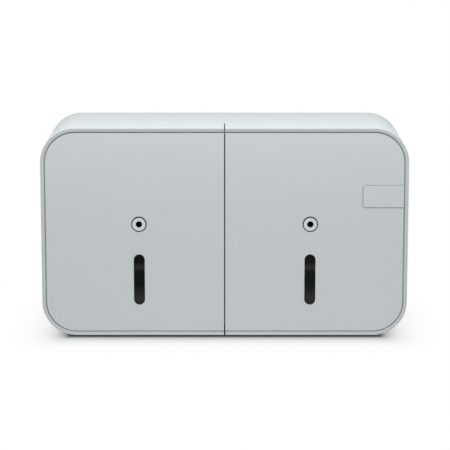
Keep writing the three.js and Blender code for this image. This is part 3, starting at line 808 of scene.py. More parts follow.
@dataclass(frozen=True)
class Case:
    """Sizes that the casing and both covers share."""

    half_width: float = CAD_BOX[1].x
    height: float = CAD_BOX[1].z
    front_y: float = CAD_BOX[0].y
    back_y: float = CAD_BOX[1].y
    roll_x: float = node_centre("right_roll_hub")[0]
    roll_z: float = node_centre("right_roll_hub")[1]
    corner: float = 37 * MM
    cover_depth: float = 44 * MM
    wall: float = 3 * MM
    cover_seam: float = 0.5 * MM
    centre_gap: float = 1.3 * MM
    rim: float = 3.8 * MM
    rim_round: float = 0.5 * MM
    back_round: float = 1.2 * MM
    seam_round: float = 0.35 * MM
    gap: float = 0.3 * MM
    bore_gap: float = 0.25 * MM
    web: float = 2.2 * MM
    lip: float = 1.8 * MM
    lip_reach: float = 5 * MM
    lip_root: float = 8 * MM
    hinge_length: float = 30 * MM
    fixed_knuckle: float = 8 * MM
    knuckle_round: float = 0.2 * MM
    pin_radius: float = 1.5 * MM
    swing: float = math.radians(110)
    outlet_round: float = 6 * MM
    outlet_margin: float = 9 * MM

    @property
    def seam_y(self) -> float:
        """The plane where the casing ends and the covers begin."""
        return self.front_y + self.cover_depth

    @property
    def lip_near_y(self) -> float:
        """Front of the casing's lip, which reaches into the covers."""
        return self.seam_y - self.lip_reach

    @property
    def lip_far_y(self) -> float:
        """Back of the lip's root in the casing."""
        return self.seam_y + self.lip_root

    @property
    def hinge_x(self) -> float:
        """Distance of the hinge axes from the middle."""
        return self.half_width - self.wall

    @property
    def inner_back_y(self) -> float:
        """Front of the back wall."""
        return self.back_y - self.wall

    @property
    def web_near_y(self) -> float:
        """Front of the web behind the face panels."""
        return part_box("left_face_panel")[1].y + self.gap

    @property
    def web_far_y(self) -> float:
        """Back of that web."""
        return self.web_near_y + self.web

    @property
    def relief(self) -> float:
        """How far a cover's side wall stops before its hinge axis."""
        return (self.wall * (1 - math.cos(self.swing)) + self.gap) / math.sin(self.swing)

    @property
    def moving_half(self) -> float:
        """Half the length of a cover's knuckle."""
        return self.hinge_length / 2 - self.fixed_knuckle - self.gap

    def hinge_heights(self) -> list[float]:
        """Heights of the hinges, from the pins of the left cover."""
        return [node_centre(f"left_{level.word}_hinge_pin")[1] for level in Level]

    def outline(self, inset: float) -> list[Point]:
        """The outline of the whole case, drawn in by an inset."""
        low, high = (inset - self.half_width, inset), (self.half_width - inset, self.height - inset)
        return rounded_box(low, high, self.corner - inset, CORNER_STEPS)

    def reach_at(self, z: float, inset: float) -> float:
        """How far the case, drawn in by an inset, reaches from the middle at a height."""
        drop = max(self.corner - z, z - (self.height - self.corner), 0)
        return self.half_width - self.corner + math.sqrt((self.corner - inset) ** 2 - drop**2)


CASE = Case()


@dataclass
class HalfAssembly:
    """What the sub-assemblies of one half of the dispenser share."""

    side: Side

    @property
    def axis(self) -> Point:
        """The axis of this half's roll and lock as (x, z)."""
        return self.side.value * CASE.roll_x, CASE.roll_z

    @property
    def hinge(self) -> Point:
        """The axis of its hinges as (x, y)."""
        return self.side.value * CASE.hinge_x, CASE.seam_y

    @property
    def outlet_edges(self) -> Point:
        """Where its paper outlet begins and ends along X."""
        reach = CASE.half_width - CASE.corner - CASE.outlet_margin - CASE.roll_x
        return self.axis[0] - reach, self.axis[0] + reach

    def named(self, word: str) -> str:
        """The name of a node, body or piece with its side before it."""
        return f"{self.side.word}_{word}"

    def axle_screws(self) -> list[str]:
        """The CAD nodes of the screws that hold the axle."""
        return [self.named(f"axle_screw_{number}") for number in (1, 2, 3)]

    def box(self, node: str) -> tuple[Vector, Vector]:
        """The lowest and the highest corner of a CAD node on this side."""
        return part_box(self.named(node))

    def radius(self, node: str) -> float:
        """Half the width of a CAD node on this side."""
        low, high = self.box(node)
        return (high.x - low.x) / 2

    def planes(self, node: str) -> Point:
        """The front and the back of a CAD node on this side."""
        low, high = self.box(node)
        return low.y, high.y

    def half(
        self, inner_x: float, inset: float, small: float = SMALL_CORNER, short: float = 0
    ) -> list[Point]:
        """Gives the outline of this half of the case.

        Args:
            inner_x: Where it ends towards the middle.
            inset: How far the rest is drawn in.
            small: Radius of its two corners at the middle.
            short: How much less far than the case it reaches outward.

        Returns:
            The outline's points.
        """
        middle, radius = CASE.half_width - CASE.corner - short, CASE.corner - inset
        points = [
            *arc((inner_x + small, inset + small), small, 180, 270, ROUND_STEPS),
            *arc((middle, CASE.corner), radius, -90, 0, CORNER_STEPS),
            *arc((middle, CASE.height - CASE.corner), radius, 0, 90, CORNER_STEPS),
            *arc((inner_x + small, CASE.height - inset - small), small, 90, 180, ROUND_STEPS),
        ]
        return [(self.side.value * x, z) for x, z in points]

    def pin_bores(self) -> list[Object]:
        """The tools for the bores of the hinge pins."""
        half, radius = CASE.hinge_length / 2 + OVERRUN, CASE.pin_radius + CASE.bore_gap
        return [rod(self.hinge, radius, z - half, z + half, across=Across.Z) for z in CASE.hinge_heights()]

    def outlet(self, near: float, far: float, top: float) -> Object:
        """The tool for the paper outlet in a floor, between two places along Y and through to its top."""
        (x0, x1), corner = self.outlet_edges, CASE.outlet_round
        return plate(rounded_box((x0, near), (x1, far), corner), -OVERRUN, top + OVERRUN, Across.Z)

    def ring(self, node: str, inner: float, edge: float) -> Object:
        """Turns the plain ring that stands for a CAD node, with round edges.

        Args:
            node: The node, without its side.
            inner: Radius of what it runs on.
            edge: Radius of its edges.

        Returns:
            The ring.
        """
        hole, outer = inner + CASE.bore_gap, self.radius(node)
        front, back = self.planes(node)
        corners = [(hole, front), (outer, front), (outer, back), (hole, back)]
        return polish(lathe(fillet([(*corner, edge) for corner in corners]), self.axis))

    def dress(self, name: str, piece: Object, body: str, finish: Finish, node: str) -> None:
        """Sets a piece of this half in place, with its own name and its node's given without the side."""
        install(self.named(name), piece, body, finish, self.named(node))


@dataclass
class FrontCover(HalfAssembly):
    """One front cover: shell, face panel, window lens and, on the right, a bare badge plate."""

    panel_gap: float = 1.1 * MM
    panel_round: float = 0.2 * MM
    panel_drop: float = 0.25 * MM
    panel_short: float = 0.2 * MM
    rim_lip: float = 0.15 * MM
    rim_flat: float = 0.7 * MM
    rim_drop: float = 0.7 * MM
    lock_play: float = 1.0 * MM
    lock_hole_lip: float = 0.2 * MM
    barrel_radius: float = 6.3 * MM
    nut_radius: float = 9 * MM
    rib: float = 2.0 * MM
    rib_depth: float = 6.0 * MM
    rib_round: float = 0.4 * MM
    rib_shares: tuple[float, float] = (0.3, 0.65)
    edge_rib_depth: float = 8.0 * MM
    window_lip: float = 0.4 * MM
    glass_round: float = 0.5 * MM
    glass_back: float = 0.5 * MM
    flange_margin: float = 2.5 * MM
    flange_round: float = 0.2 * MM
    badge_corner: float = 3.0 * MM
    badge_round: float = 0.25 * MM
    badge_gap: float = 0.6 * MM
    badge_drop: float = 0.25 * MM
    badge_trim: float = 0.8 * MM
    badge_depth: float = 1.3 * MM
    badge_glue: float = 0.1 * MM
    pocket_lip: float = 0.12 * MM
    outlet_margin: float = 15 * MM

    def __post_init__(self) -> None:
        """Reads the places of panel and window from the frame."""
        self.panel_near, self.panel_far = self.planes("face_panel")
        low, high = self.box("window_lens")
        self.flange_low, self.flange_high = low.z, high.z
        margin = 2 * self.flange_margin
        self.window_width, self.window_length = high.x - low.x - margin, high.z - low.z - margin

    def build(self) -> None:
        """Builds and dresses the pieces of the cover."""
        body = self.named("cover")
        self.dress("cover_moulding", self.shell(), body, CASING, "cover_shell")
        self.dress("panel_sheet", self.panel(), body, PANEL, "face_panel")
        self.dress("lens_moulding", self.lens(), body, SMOKED, "window_lens")
        if self.side is Side.RIGHT:
            self.dress("badge_blank", self.badge(), body, BADGE, "badge_plate")

    def window(self, inset: float) -> list[Point]:
        """The outline of the window, drawn in by an inset."""
        centre = node_centre(self.named("window_lens"))
        return upright_slot(centre, self.window_width - 2 * inset, self.window_length - 2 * inset)

    def outer(self, inset: float) -> list[Point]:
        """The shell's outline, drawn in by an inset that the centre seam follows only a little."""
        inner_x = CASE.centre_gap / 2 + min(inset, CASE.seam_round)
        return self.half(inner_x, inset, max(CASE.seam_round - inset, SMALL_CORNER))

    def within(self, depth: float) -> OutlineAt:
        """The outline at a depth inside the case's own, open towards the middle."""
        return lambda inset: self.half(-OVERRUN, depth + inset)

    def shell(self) -> Object:
        """Makes the moulded shell: rim, web, ribs and hinge knuckles.

        Returns:
            The shell.
        """
        body = slab(self.outer, CASE.front_y, CASE.seam_y - CASE.cover_seam, CASE.rim_round, CASE.seam_round)
        face = opening(self.within(CASE.rim), CASE.front_y + self.rim_drop, CASE.web_near_y, self.rim_lip)
        hollow = slab(self.within(CASE.wall), CASE.web_far_y, CASE.seam_y)
        combine(body, cut=[self.rim_slope(), face, hollow])
        combine(body, joined=self.ribs())
        near, far = CASE.web_near_y - OVERRUN, CASE.web_far_y + OVERRUN
        holes = [rod(self.axis, self.barrel_radius, near, far), slab(self.window, near, far)]
        outlet = self.outlet(CASE.front_y + self.outlet_margin, CASE.seam_y + CASE.outlet_round, CASE.wall)
        combine(body, cut=[*holes, outlet, self.side_relief()])
        combine(body, joined=self.knuckles())
        return polish(combine(body, cut=self.pin_bores()))

    def rim_slope(self) -> Object:
        """Makes the tool that lets the rim's face fall a little towards the panel.

        Returns:
            The tool.
        """
        fall = self.rim_drop / (CASE.rim - self.rim_flat)
        insets = (self.rim_flat - OVERRUN, CASE.rim + OVERRUN)
        stations = [(inset, CASE.front_y + fall * (inset - self.rim_flat)) for inset in insets]
        return stack(self.within(0), stations)

    def ribs(self) -> list[Object]:
        """Makes the rib along the centre seam and those across the cover.

        Returns:
            The ribs: one under the window, one between window and lock, and the rest up to the top.
        """
        value, lock_z = self.side.value, self.axis[1]
        lock_low, lock_high = lock_z - self.nut_radius, lock_z + self.nut_radius
        heights = [(CASE.wall + self.flange_low) / 2, (self.flange_high + lock_low) / 2]
        heights += [lock_high + share * (CASE.height - CASE.wall - lock_high) for share in self.rib_shares]
        root, inset, near = CASE.web_far_y - CASE.web / 2, CASE.wall / 2, CASE.centre_gap / 2
        edge_far = (value * (near + self.rib), CASE.web_far_y + self.edge_rib_depth, CASE.height - inset)
        ribs = [block((value * near, root, inset), edge_far)]
        for z in heights:
            ends = sorted((value * near, value * CASE.reach_at(z, inset)))
            outline_at = functools.partial(self.rib_outline, *ends, z)
            ribs.append(slab(outline_at, CASE.web_far_y + self.rib_depth, root, self.rib_round))
        return ribs

    def rib_outline(self, start: float, end: float, z: float, inset: float) -> list[Point]:
        """The outline of a rib across the cover, drawn in at its long edges."""
        return level_bar(start, end, z, self.rib / 2 - inset)

    def side_relief(self) -> Object:
        """Makes the tool that ends the side wall before the hinge axis.

        Returns:
            The tool.
        """
        value = self.side.value
        low_z = CASE.corner - math.sqrt(CASE.corner**2 - (CASE.corner - CASE.wall) ** 2)
        low = (value * (CASE.hinge_x - 2 * CASE.wall), CASE.seam_y - CASE.relief, low_z)
        high = (value * (CASE.half_width + OVERRUN), CASE.seam_y + OVERRUN, CASE.height - low_z)
        return block(low, high)

    def knuckles(self) -> list[Object]:
        """Makes the middle knuckle of each hinge, with the web that carries it.

        Returns:
            The knuckles and their webs.
        """
        (x, y), outer_x = self.hinge, self.side.value * CASE.half_width
        pieces = []
        for z in CASE.hinge_heights():
            low, high = z - CASE.moving_half, z + CASE.moving_half
            pieces.append(rod(self.hinge, CASE.wall, low, high, CASE.knuckle_round, Across.Z))
            pieces.append(block((x, y - CASE.relief - OVERRUN, low), (outer_x, y, high)))
        return pieces

    def panel_outline(self, inset: float) -> list[Point]:
        """The outline of the face panel, drawn in by an inset."""
        inner_x, edge = CASE.centre_gap / 2 + inset, CASE.rim + self.panel_gap + inset
        return [(x, z - self.panel_drop) for x, z in self.half(inner_x, edge, short=self.panel_short)]

    def panel(self) -> Object:
        """Makes the face panel with its holes for lock and window, and the badge's pocket on the right.

        Returns:
            The panel.
        """
        near, far = self.panel_near, self.panel_far + OVERRUN
        hole = self.radius("lock_housing") + self.lock_play
        tools = [
            opening(lambda inset: circle(self.axis, hole - inset), near, far, self.lock_hole_lip),
            opening(self.window, near, far, self.window_lip),
        ]
        if self.side is Side.RIGHT:
            tools.append(opening(self.badge_pocket, near, near + self.badge_depth, self.pocket_lip))
        panel = slab(self.panel_outline, near, self.panel_far, self.panel_round)
        return polish(combine(panel, cut=tools))

    def badge_outline(self, inset: float, past: float = 0) -> list[Point]:
        """Gives the outline of the badge plate, which is round on its inner side.

        Args:
            inset: How far it is drawn in.
            past: How far it goes on past the panel's outer edge.

        Returns:
            The outline's points.
        """
        low, high = self.box("badge_plate")
        radius = self.badge_corner - inset
        x0, x1 = low.x + inset, high.x - inset + past
        z0, z1 = low.z + self.badge_trim + inset, high.z - inset
        top = arc((x0 + radius, z1 - radius), radius, 90, 180, CORNER_STEPS)
        bottom = arc((x0 + radius, z0 + radius), radius, 180, 270, CORNER_STEPS)
        return [*top, *bottom, (x1, z0), (x1, z1)]

    def badge_pocket(self, inset: float) -> list[Point]:
        """The outline of the badge's pocket, in which the plate sits a little high."""
        return [(x, z - self.badge_drop) for x, z in self.badge_outline(inset - self.badge_gap, 2 * OVERRUN)]

    def badge(self) -> Object:
        """The bare badge plate."""
        near, far = self.box("badge_plate")[0].y, self.panel_near + self.badge_depth - self.badge_glue
        return polish(slab(self.badge_outline, near, far, self.badge_round))

    def lens(self) -> Object:
        """Makes the smoked window with the flange that holds it behind the web.

        Returns:
            The lens.
        """
        near, far = self.planes("window_lens")
        glass = slab(lambda i: self.window(i + CASE.gap), near, far - self.glass_back, self.glass_round)
        flange_near, edge = CASE.web_far_y + CASE.gap, self.flange_round
        flange = slab(lambda i: self.window(i - self.flange_margin), flange_near, far, edge, edge)
        return polish(combine(glass, joined=[flange]))


@dataclass(frozen=True)
class Screw:
    """A pan head screw with a cross recess, about an axis along Y.

    The radii crown, crown_round, rim_round, arm and arm_half are shares of the head's radius, and point is a
    share of the shank's. The heights rim and recess are shares of the head's height.
    """

    head_radius: float
    head_height: float
    shank_radius: float
    crown: float = 0.7
    crown_round: float = 0.3
    rim_round: float = 0.15
    rim: float = 0.4
    seat_round: float = 0.05 * MM
    point: float = 0.3
    arm: float = 0.58
    arm_half: float = 0.13
    recess: float = 0.65

    def body(self, node: str, tip: int) -> Object:
        """Builds the screw in the place of a CAD node.

        Args:
            node: The CAD node.
            tip: The sign of the way along Y that its tip points.

        Returns:
            The screw.
        """
        low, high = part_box(node)
        start, end = (low.y, high.y) if tip > 0 else (high.y, low.y)
        x, z = node_centre(node)
        head, shank = self.head_radius, self.shank_radius
        seat = start + tip * self.head_height
        profile = fillet([
            (0, start, 0),
            (head * self.crown, start, head * self.crown_round),
            (head, seat - tip * self.head_height * self.rim, head * self.rim_round),
            (head, seat, self.seat_round),
            (shank, seat, 0),
            (shank, end - tip * shank, 0),
            (shank * self.point, end, 0),
            (0, end, 0),
        ])
        arm, half = head * self.arm, head * self.arm_half
        near, far = start - tip * OVERRUN, start + tip * self.head_height * self.recess
        flat = block((x - arm, near, z - half), (x + arm, far, z + half))
        tall = block((x - half, near, z - arm), (x + half, far, z + arm))
        return polish(combine(lathe(profile, (x, z)), cut=[flat, tall]))


@dataclass
class Lock(HalfAssembly):
    """The lock of one cover: face, nut, plug, retainer, cam and cam screw."""

    edge: float = 0.5 * MM
    outer_edge: float = 0.7 * MM
    # The turned face keeps its own colour to this depth; past it the painted shade starts.
    bright_depth: float = 0.0625 * MM
    face_thickness: float = 1.0 * MM
    key_hole: float = 3.25 * MM
    barrel: float = 6.0 * MM
    barrel_round: float = 0.3 * MM
    bore: float = 4.25 * MM
    bore_round: float = 0.1 * MM
    socket: float = 3.1 * MM
    socket_depth: float = 6 * MM
    socket_round: float = 0.2 * MM
    plug_radius: float = 4.0 * MM
    plug_round: float = 0.15 * MM
    tail: float = 2.4 * MM
    ward_reach: float = 3.6 * MM
    ward: float = 1.2 * MM
    nut_chamfer: float = 0.5 * MM
    ring_round: float = 0.12 * MM
    screw_bore: float = 1.5 * MM
    screw_bore_depth: float = 6.7 * MM
    cam_corner: float = 1.2 * MM
    cam_round: float = 0.25 * MM
    cam_screw: Screw = Screw(2.6 * MM, 1.5 * MM, 1.25 * MM)

    def build(self) -> None:
        """Builds and dresses the lock's pieces."""
        cover, turning = self.named("cover"), self.named("lock")
        face = self.face()
        self.dress("lock_face", face, cover, LOCK_FACE, "lock_housing")
        # Painted shade: the face's round edges and key hole turn black to darken the gap round the lock.
        self.paint_edge_shade(face)
        self.dress("hex_nut", self.nut(), cover, STEEL, "lock_nut")
        retainer = self.ring("plug_retainer", self.tail, self.ring_round)
        self.dress("clip_ring", retainer, cover, STEEL, "plug_retainer")
        self.dress("plug_core", self.plug(), turning, LOCK_BLACK, "lock_plug")
        self.dress("cam_bar", self.cam(), turning, STEEL, "lock_cam")
        screw = self.cam_screw.body(self.named("cam_screw"), -1)
        self.dress("cam_fastener", screw, turning, TURNED_STEEL, "cam_screw")

    def face(self) -> Object:
        """Makes the turned lock face with its barrel and the round key hole.

        Returns:
            The face.
        """
        near, far = self.planes("lock_housing")
        radius = self.radius("lock_housing")
        head_back, inner_y = CASE.web_near_y - CASE.gap, near + self.face_thickness
        profile = fillet([
            (self.key_hole, near, self.edge),
            (radius, near, self.outer_edge),
            (radius, head_back, self.bore_round),
            (self.barrel, head_back, 0),
            (self.barrel, far, self.barrel_round),
            (self.bore, far, self.bore_round),
            (self.bore, inner_y, 0),
            (self.key_hole, inner_y, 0),
        ])
        return polish(lathe(profile, self.axis))

    def paint_edge_shade(self, face: Object) -> None:
        """Paints all but the flat turned face black: painted shade on the round edges and in the key hole.
        """
        face.data.materials.append(LOCK_BLACK.material())
        # Painted shade: everything behind the flat turned face gets the black lock material.
        front = self.planes("lock_housing")[0] + self.bright_depth
        for polygon in face.data.polygons:
            polygon.material_index = int(polygon.center.y > front)

    def nut(self) -> Object:
        """Makes the hexagonal nut, with its corners turned off.

        Returns:
            The nut.
        """
        near, far = self.planes("lock_nut")
        radius, step = self.radius("lock_nut"), self.nut_chamfer
        flats = radius * math.cos(math.pi / HEX_SIDES)
        front = [(0, near), (flats, near), (radius, near + step)]
        profile = [*front, (radius, far - step), (flats, far), (0, far)]
        body = plate(circle(self.axis, radius, HEX_SIDES), near, far)
        hole = rod(self.axis, self.barrel + CASE.bore_gap, near - OVERRUN, far + OVERRUN)
        return polish(combine(body, cut=[hole], kept=[lathe(profile, self.axis)]), NUT_CREASE)

    def plug(self) -> Object:
        """Makes the plug with its round key socket and two wards.

        Returns:
            The plug.
        """
        near, far = self.planes("lock_plug")
        shoulder = self.planes("plug_retainer")[0] - CASE.gap
        floor = near + self.socket_depth
        profile = fillet([
            (0, floor, 0),
            (self.socket, floor, self.socket_round),
            (self.socket, near, self.plug_round),
            (self.plug_radius, near, self.plug_round),
            (self.plug_radius, shoulder, self.plug_round),
            (self.tail, shoulder, 0),
            (self.tail, far, self.plug_round),
            (0, far, 0),
        ])
        (x, z), reach, half = self.axis, self.ward_reach, self.ward / 2
        wards = block((x - reach, near - OVERRUN, z - half), (x + reach, floor, z + half))
        bore = rod(self.axis, self.screw_bore, far - self.screw_bore_depth, far + OVERRUN)
        return polish(combine(lathe(profile, self.axis), cut=[wards, bore]))

    def cam_outline(self, inset: float) -> list[Point]:
        """The outline of the cam, drawn in by an inset."""
        (x0, _, z0), (x1, _, z1) = self.box("lock_cam")
        return rounded_box((x0 + inset, z0 + inset), (x1 - inset, z1 - inset), self.cam_corner - inset)

    def cam(self) -> Object:
        """Makes the flat cam that turns in the catch socket.

        Returns:
            The cam.
        """
        near, far = self.planes("lock_cam")
        cam = slab(self.cam_outline, near, far, self.cam_round, self.cam_round)
        bore = rod(self.axis, self.screw_bore, near - OVERRUN, far + OVERRUN)
        return polish(combine(cam, cut=[bore]))


@dataclass
class CasingHalf(HalfAssembly):
    """One half of the casing: what is moulded on it, its tear bars and its hinge pins."""

    boss_radius: float = 36 * MM
    boss_height: float = 5 * MM
    boss_round: float = 0.6 * MM
    boss_hole: float = 2.25 * MM
    boss_hole_depth: float = 6.5 * MM
    rib_count: int = 8
    rib_reach: float = 74 * MM
    rib_height: float = 3 * MM
    rib: float = 2 * MM
    rail: float = 2 * MM
    rail_height: float = 3.5 * MM
    hole_spacing: float = 100 * MM
    keyhole_rise: float = 66 * MM
    keyhole_head: float = 4.5 * MM
    keyhole_neck: float = 2.5 * MM
    keyhole_slide: float = 9 * MM
    plain_hole: float = 2.75 * MM
    plain_drop: float = 84 * MM
    hole_lip: float = 0.3 * MM
    outlet_margin: float = 8 * MM
    bar_seat: float = 9 * MM
    bar: float = 1 * MM
    bar_corner: float = 1.5 * MM
    bar_round: float = 0.1 * MM
    tooth: float = 2.5 * MM
    tooth_count: int = 16
    stake: float = 1.6 * MM
    stake_rise: float = 1 * MM
    stake_inset: float = 10 * MM
    stake_round: float = 0.4 * MM
    pin_round: float = 0.4 * MM

    def __post_init__(self) -> None:
        """Works out the outlet's rear edge, the stretch of the tear bars and the front of the boss."""
        self.outlet_rear = CASE.inner_back_y - self.outlet_margin
        self.bar_near = CASE.lip_far_y + CASE.gap
        self.bar_far = self.outlet_rear - CASE.outlet_round
        self.boss_front = CASE.inner_back_y - self.boss_height

    def build(self) -> None:
        """Builds and dresses the tear bars and the hinge pins."""
        for edge in Edge:
            self.dress(f"{edge.word}_blade", self.tear_bar(edge), "casing", STEEL, f"{edge.word}_tear_bar")
        for level in Level:
            self.dress(f"{level.word}_pin", self.pin(level), "casing", STEEL, f"{level.word}_hinge_pin")

    def added(self) -> list[Object]:
        """What is moulded on the casing inside."""
        return [*self.boss(), *self.stakes(), *self.rails()]

    def cuts(self) -> list[Object]:
        """Makes the tools for the holes in the casing.

        Returns:
            The tools.
        """
        near, top = CASE.lip_near_y - OVERRUN, CASE.wall + CASE.gap + CASE.lip
        outlet = self.outlet(near - CASE.outlet_round, self.outlet_rear, top)
        return [*self.boss_holes(), *self.wall_holes(), outlet, *self.pockets()]

    def seat_outline(self, inset: float) -> list[Point]:
        """The outline of the axle's seat, drawn in by an inset."""
        return circle(self.axis, self.boss_radius - inset, FINE_SIDES)

    def boss(self) -> list[Object]:
        """Makes the round seat of the axle with the ribs that run out from it.

        Returns:
            The seat and its ribs.
        """
        far = CASE.inner_back_y + CASE.wall / 2
        planes, reach = (CASE.inner_back_y - self.rib_height, far), (self.boss_radius / 2, self.rib_reach)
        seat = slab(self.seat_outline, self.boss_front, far, self.boss_round)
        return [seat, *spokes(self.axis, reach, planes, self.rib, self.rib_count)]

    def boss_holes(self) -> list[Object]:
        """The tools for the holes of the axle screws."""
        planes = self.boss_front - OVERRUN, self.boss_front + self.boss_hole_depth
        return [rod(spot, self.boss_hole, *planes) for spot in map(node_centre, self.axle_screws())]

    def wall_holes(self) -> list[Object]:
        """Makes the tools for the keyholes and plain holes in the back wall.

        Returns:
            The tools.
        """
        x, z = self.axis
        high, low = z + self.keyhole_rise, z - self.plain_drop
        neck_z, length = high + self.keyhole_slide / 2, self.keyhole_slide + 2 * self.keyhole_neck
        tools = []
        for spot in (x - self.hole_spacing / 2, x + self.hole_spacing / 2):
            outlines = [
                lambda i, s=spot: circle((s, high), self.keyhole_head - i),
                lambda i, s=spot: upright_slot((s, neck_z), 2 * (self.keyhole_neck - i), length - 2 * i),
                lambda i, s=spot: circle((s, low), self.plain_hole - i),
            ]
            planes = CASE.back_y, CASE.inner_back_y - OVERRUN
            tools += [opening(outline_at, *planes, self.hole_lip) for outline_at in outlines]
        return tools

    def stake_spots(self, outward: int) -> list[Point]:
        """Where the stakes of one tear bar stand, with the sign of its outlet edge along X."""
        x = self.outlet_edges[outward > 0] + outward * self.bar_seat / 2
        return [(x, self.bar_near + self.stake_inset), (x, self.bar_far - self.stake_inset)]

    def stakes(self) -> list[Object]:
        """Makes the stakes that hold the tear bars.

        Returns:
            The stakes.
        """
        planes = CASE.wall / 2, CASE.wall + CASE.gap + self.bar + self.stake_rise
        spots = [*self.stake_spots(-1), *self.stake_spots(1)]
        return [rod(spot, self.stake, *planes, self.stake_round, Across.Z) for spot in spots]

    def rails(self) -> list[Object]:
        """Makes the rails that hold the divider on this side.

        Returns:
            The lower, the upper and the rear rail.
        """
        inner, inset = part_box("divider_wall")[1].x + CASE.gap, CASE.wall / 2
        x0, x1 = self.side.value * inner, self.side.value * (inner + self.rail)
        near, reach = CASE.lip_far_y, CASE.wall + self.rail_height
        back, top = CASE.back_y - inset, CASE.height - inset
        return [
            block((x0, near, inset), (x1, back, reach)),
            block((x0, near, CASE.height - reach), (x1, back, top)),
            block((x0, CASE.inner_back_y - self.rail_height, inset), (x1, back, top)),
        ]

    def pockets(self) -> list[Object]:
        """Makes the tools for the room that the cover's knuckles need.

        Returns:
            The tools.
        """
        (x, y), near = self.hinge, CASE.lip_near_y - OVERRUN
        reach = math.hypot(CASE.wall, CASE.relief) + CASE.gap
        lip_x = self.side.value * (CASE.hinge_x - CASE.gap - CASE.lip - reach)
        half = CASE.moving_half + CASE.gap
        tools = []
        for z in CASE.hinge_heights():
            tools.append(rod(self.hinge, reach, z - half, z + half, across=Across.Z))
            tools.append(block((x, near, z - half), (lip_x, y, z + half)))
        return tools

    def knuckles(self) -> list[Object]:
        """Makes the fixed knuckles, two for each hinge.

        Returns:
            The knuckles.
        """
        pieces = []
        for z in CASE.hinge_heights():
            for end in (-1, 1):
                outer = z + end * CASE.hinge_length / 2
                inner = outer - end * CASE.fixed_knuckle
                pieces.append(rod(self.hinge, CASE.wall, outer, inner, CASE.knuckle_round, Across.Z))
        return pieces

    def tear_bar(self, edge: Edge) -> Object:
        """Makes a flat strip with one row of teeth that stands out over the paper outlet.

        Args:
            edge: The edge of the outlet that it lies at.

        Returns:
            The strip.
        """
        low, high = self.box(f"{edge.word}_tear_bar")
        outward = self.side.value * edge.value
        root = self.outlet_edges[outward > 0]
        pitch = (self.bar_far - self.bar_near) / self.tooth_count

        def outline(inset: float) -> list[Point]:
            """Gives the strip's outline in X and Y.

            Args:
                inset: How far it is drawn in.

            Returns:
                The outline's points.
            """
            valley, tip = root + outward * inset, root + outward * (inset - self.tooth)
            seat, corner = root + outward * (self.bar_seat - inset), self.bar_corner
            near, far = self.bar_near + inset, self.bar_far - inset
            points = [(valley, near), (tip, self.bar_near + pitch / 2)]
            for i in range(1, self.tooth_count):
                start = self.bar_near + pitch * i
                points += [(valley, start), (tip, start + pitch / 2)]
            corners = [(valley, far, 0), (seat, far, corner), (seat, near, corner), (valley, near, 0)]
            return [*points, *fillet(corners)[:-1]]

        strip = slab(outline, low.z, high.z, self.bar_round, self.bar_round, Across.Z)
        radius, planes = self.stake + CASE.bore_gap, (low.z - OVERRUN, high.z + OVERRUN)
        holes = [rod(spot, radius, *planes, across=Across.Z) for spot in self.stake_spots(outward)]
        return polish(combine(strip, cut=holes))

    def pin(self, level: Level) -> Object:
        """Makes a hinge pin with round ends.

        Args:
            level: Which of the two hinges it belongs to.

        Returns:
            The pin.
        """
        low, high = self.box(f"{level.word}_hinge_pin")
        spot = ((low.x + high.x) / 2, (low.y + high.y) / 2)
        return polish(rod(spot, CASE.pin_radius, low.z, high.z, self.pin_round, Across.Z))


@dataclass
class RearCasing:
    """The casing on the wall, with its two halves and the divider between them."""

    hollow_round: float = 0.8 * MM
    lip_round: float = 0.5 * MM
    root_start: float = 0.6 * MM
    divider_corner: float = 8 * MM
    divider_small_corner: float = 0.5 * MM
    divider_round: float = 0.4 * MM

    def build(self) -> None:
        """Builds the casing and what is fixed in it."""
        halves = [CasingHalf(side) for side in Side]
        install("casing_moulding", self.moulding(halves), "casing", CASING, "rear_casing")
        install("divider_plate", self.divider(), "casing", INNER, "divider_wall")
        for half in halves:
            half.build()

    def moulding(self, halves: Sequence[CasingHalf]) -> Object:
        """Makes the moulded casing with all that is moulded on it.

        Args:
            halves: The casing's two halves.

        Returns:
            The casing.
        """
        body = slab(CASE.outline, CASE.seam_y, CASE.back_y, CASE.seam_round, CASE.back_round)
        near, far = CASE.seam_y - OVERRUN, CASE.inner_back_y
        combine(body, cut=[slab(self.within(CASE.wall), near, far, 0, self.hollow_round)])
        added = [self.lip(), *(piece for half in halves for piece in half.added())]
        combine(body, joined=added, cut=[tool for half in halves for tool in half.cuts()])
        combine(body, joined=[knuckle for half in halves for knuckle in half.knuckles()])
        return polish(combine(body, cut=[bore for half in halves for bore in half.pin_bores()]))

    def within(self, depth: float) -> OutlineAt:
        """The outline at a depth inside the case's own."""
        return lambda inset: CASE.outline(depth + inset)

    def lip(self) -> Object:
        """Makes the lip that the covers close over.

        Returns:
            The lip.
        """
        near, far, outer = CASE.lip_near_y, CASE.lip_far_y, CASE.wall + CASE.gap
        lip = slab(self.within(outer), near, far, self.lip_round)
        root = slab(self.within(CASE.wall / 2), CASE.seam_y + self.root_start, far)
        inside = slab(self.within(outer + CASE.lip), near - OVERRUN, far + OVERRUN)
        return combine(lip, joined=[root], cut=[inside])

    def divider_outline(self, inset: float) -> list[Point]:
        """Gives the divider's outline in Y and Z, which steps in behind the lip.

        Args:
            inset: How far it is drawn in.

        Returns:
            The outline's points.
        """
        low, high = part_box("divider_wall")
        near, far, notch = low.y + inset, high.y - inset, CASE.lip_far_y + CASE.gap + inset
        lip_inset = CASE.wall + CASE.lip + 2 * CASE.gap
        bottom, top = (low.z + inset, lip_inset + inset), (high.z - inset, CASE.height - lip_inset - inset)
        small, corner = self.divider_small_corner, self.divider_corner - inset
        return fillet([
            (far, bottom[0], small),
            (far, top[0], small),
            (notch, top[0], small),
            (notch, top[1], small),
            (near, top[1], corner),
            (near, bottom[1], corner),
            (notch, bottom[1], small),
            (notch, bottom[0], small),
        ])

    def divider(self) -> Object:
        """The plate between the roll spaces."""
        (low, high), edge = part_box("divider_wall"), self.divider_round
        return polish(slab(self.divider_outline, low.x, high.x, edge, edge, Across.X))


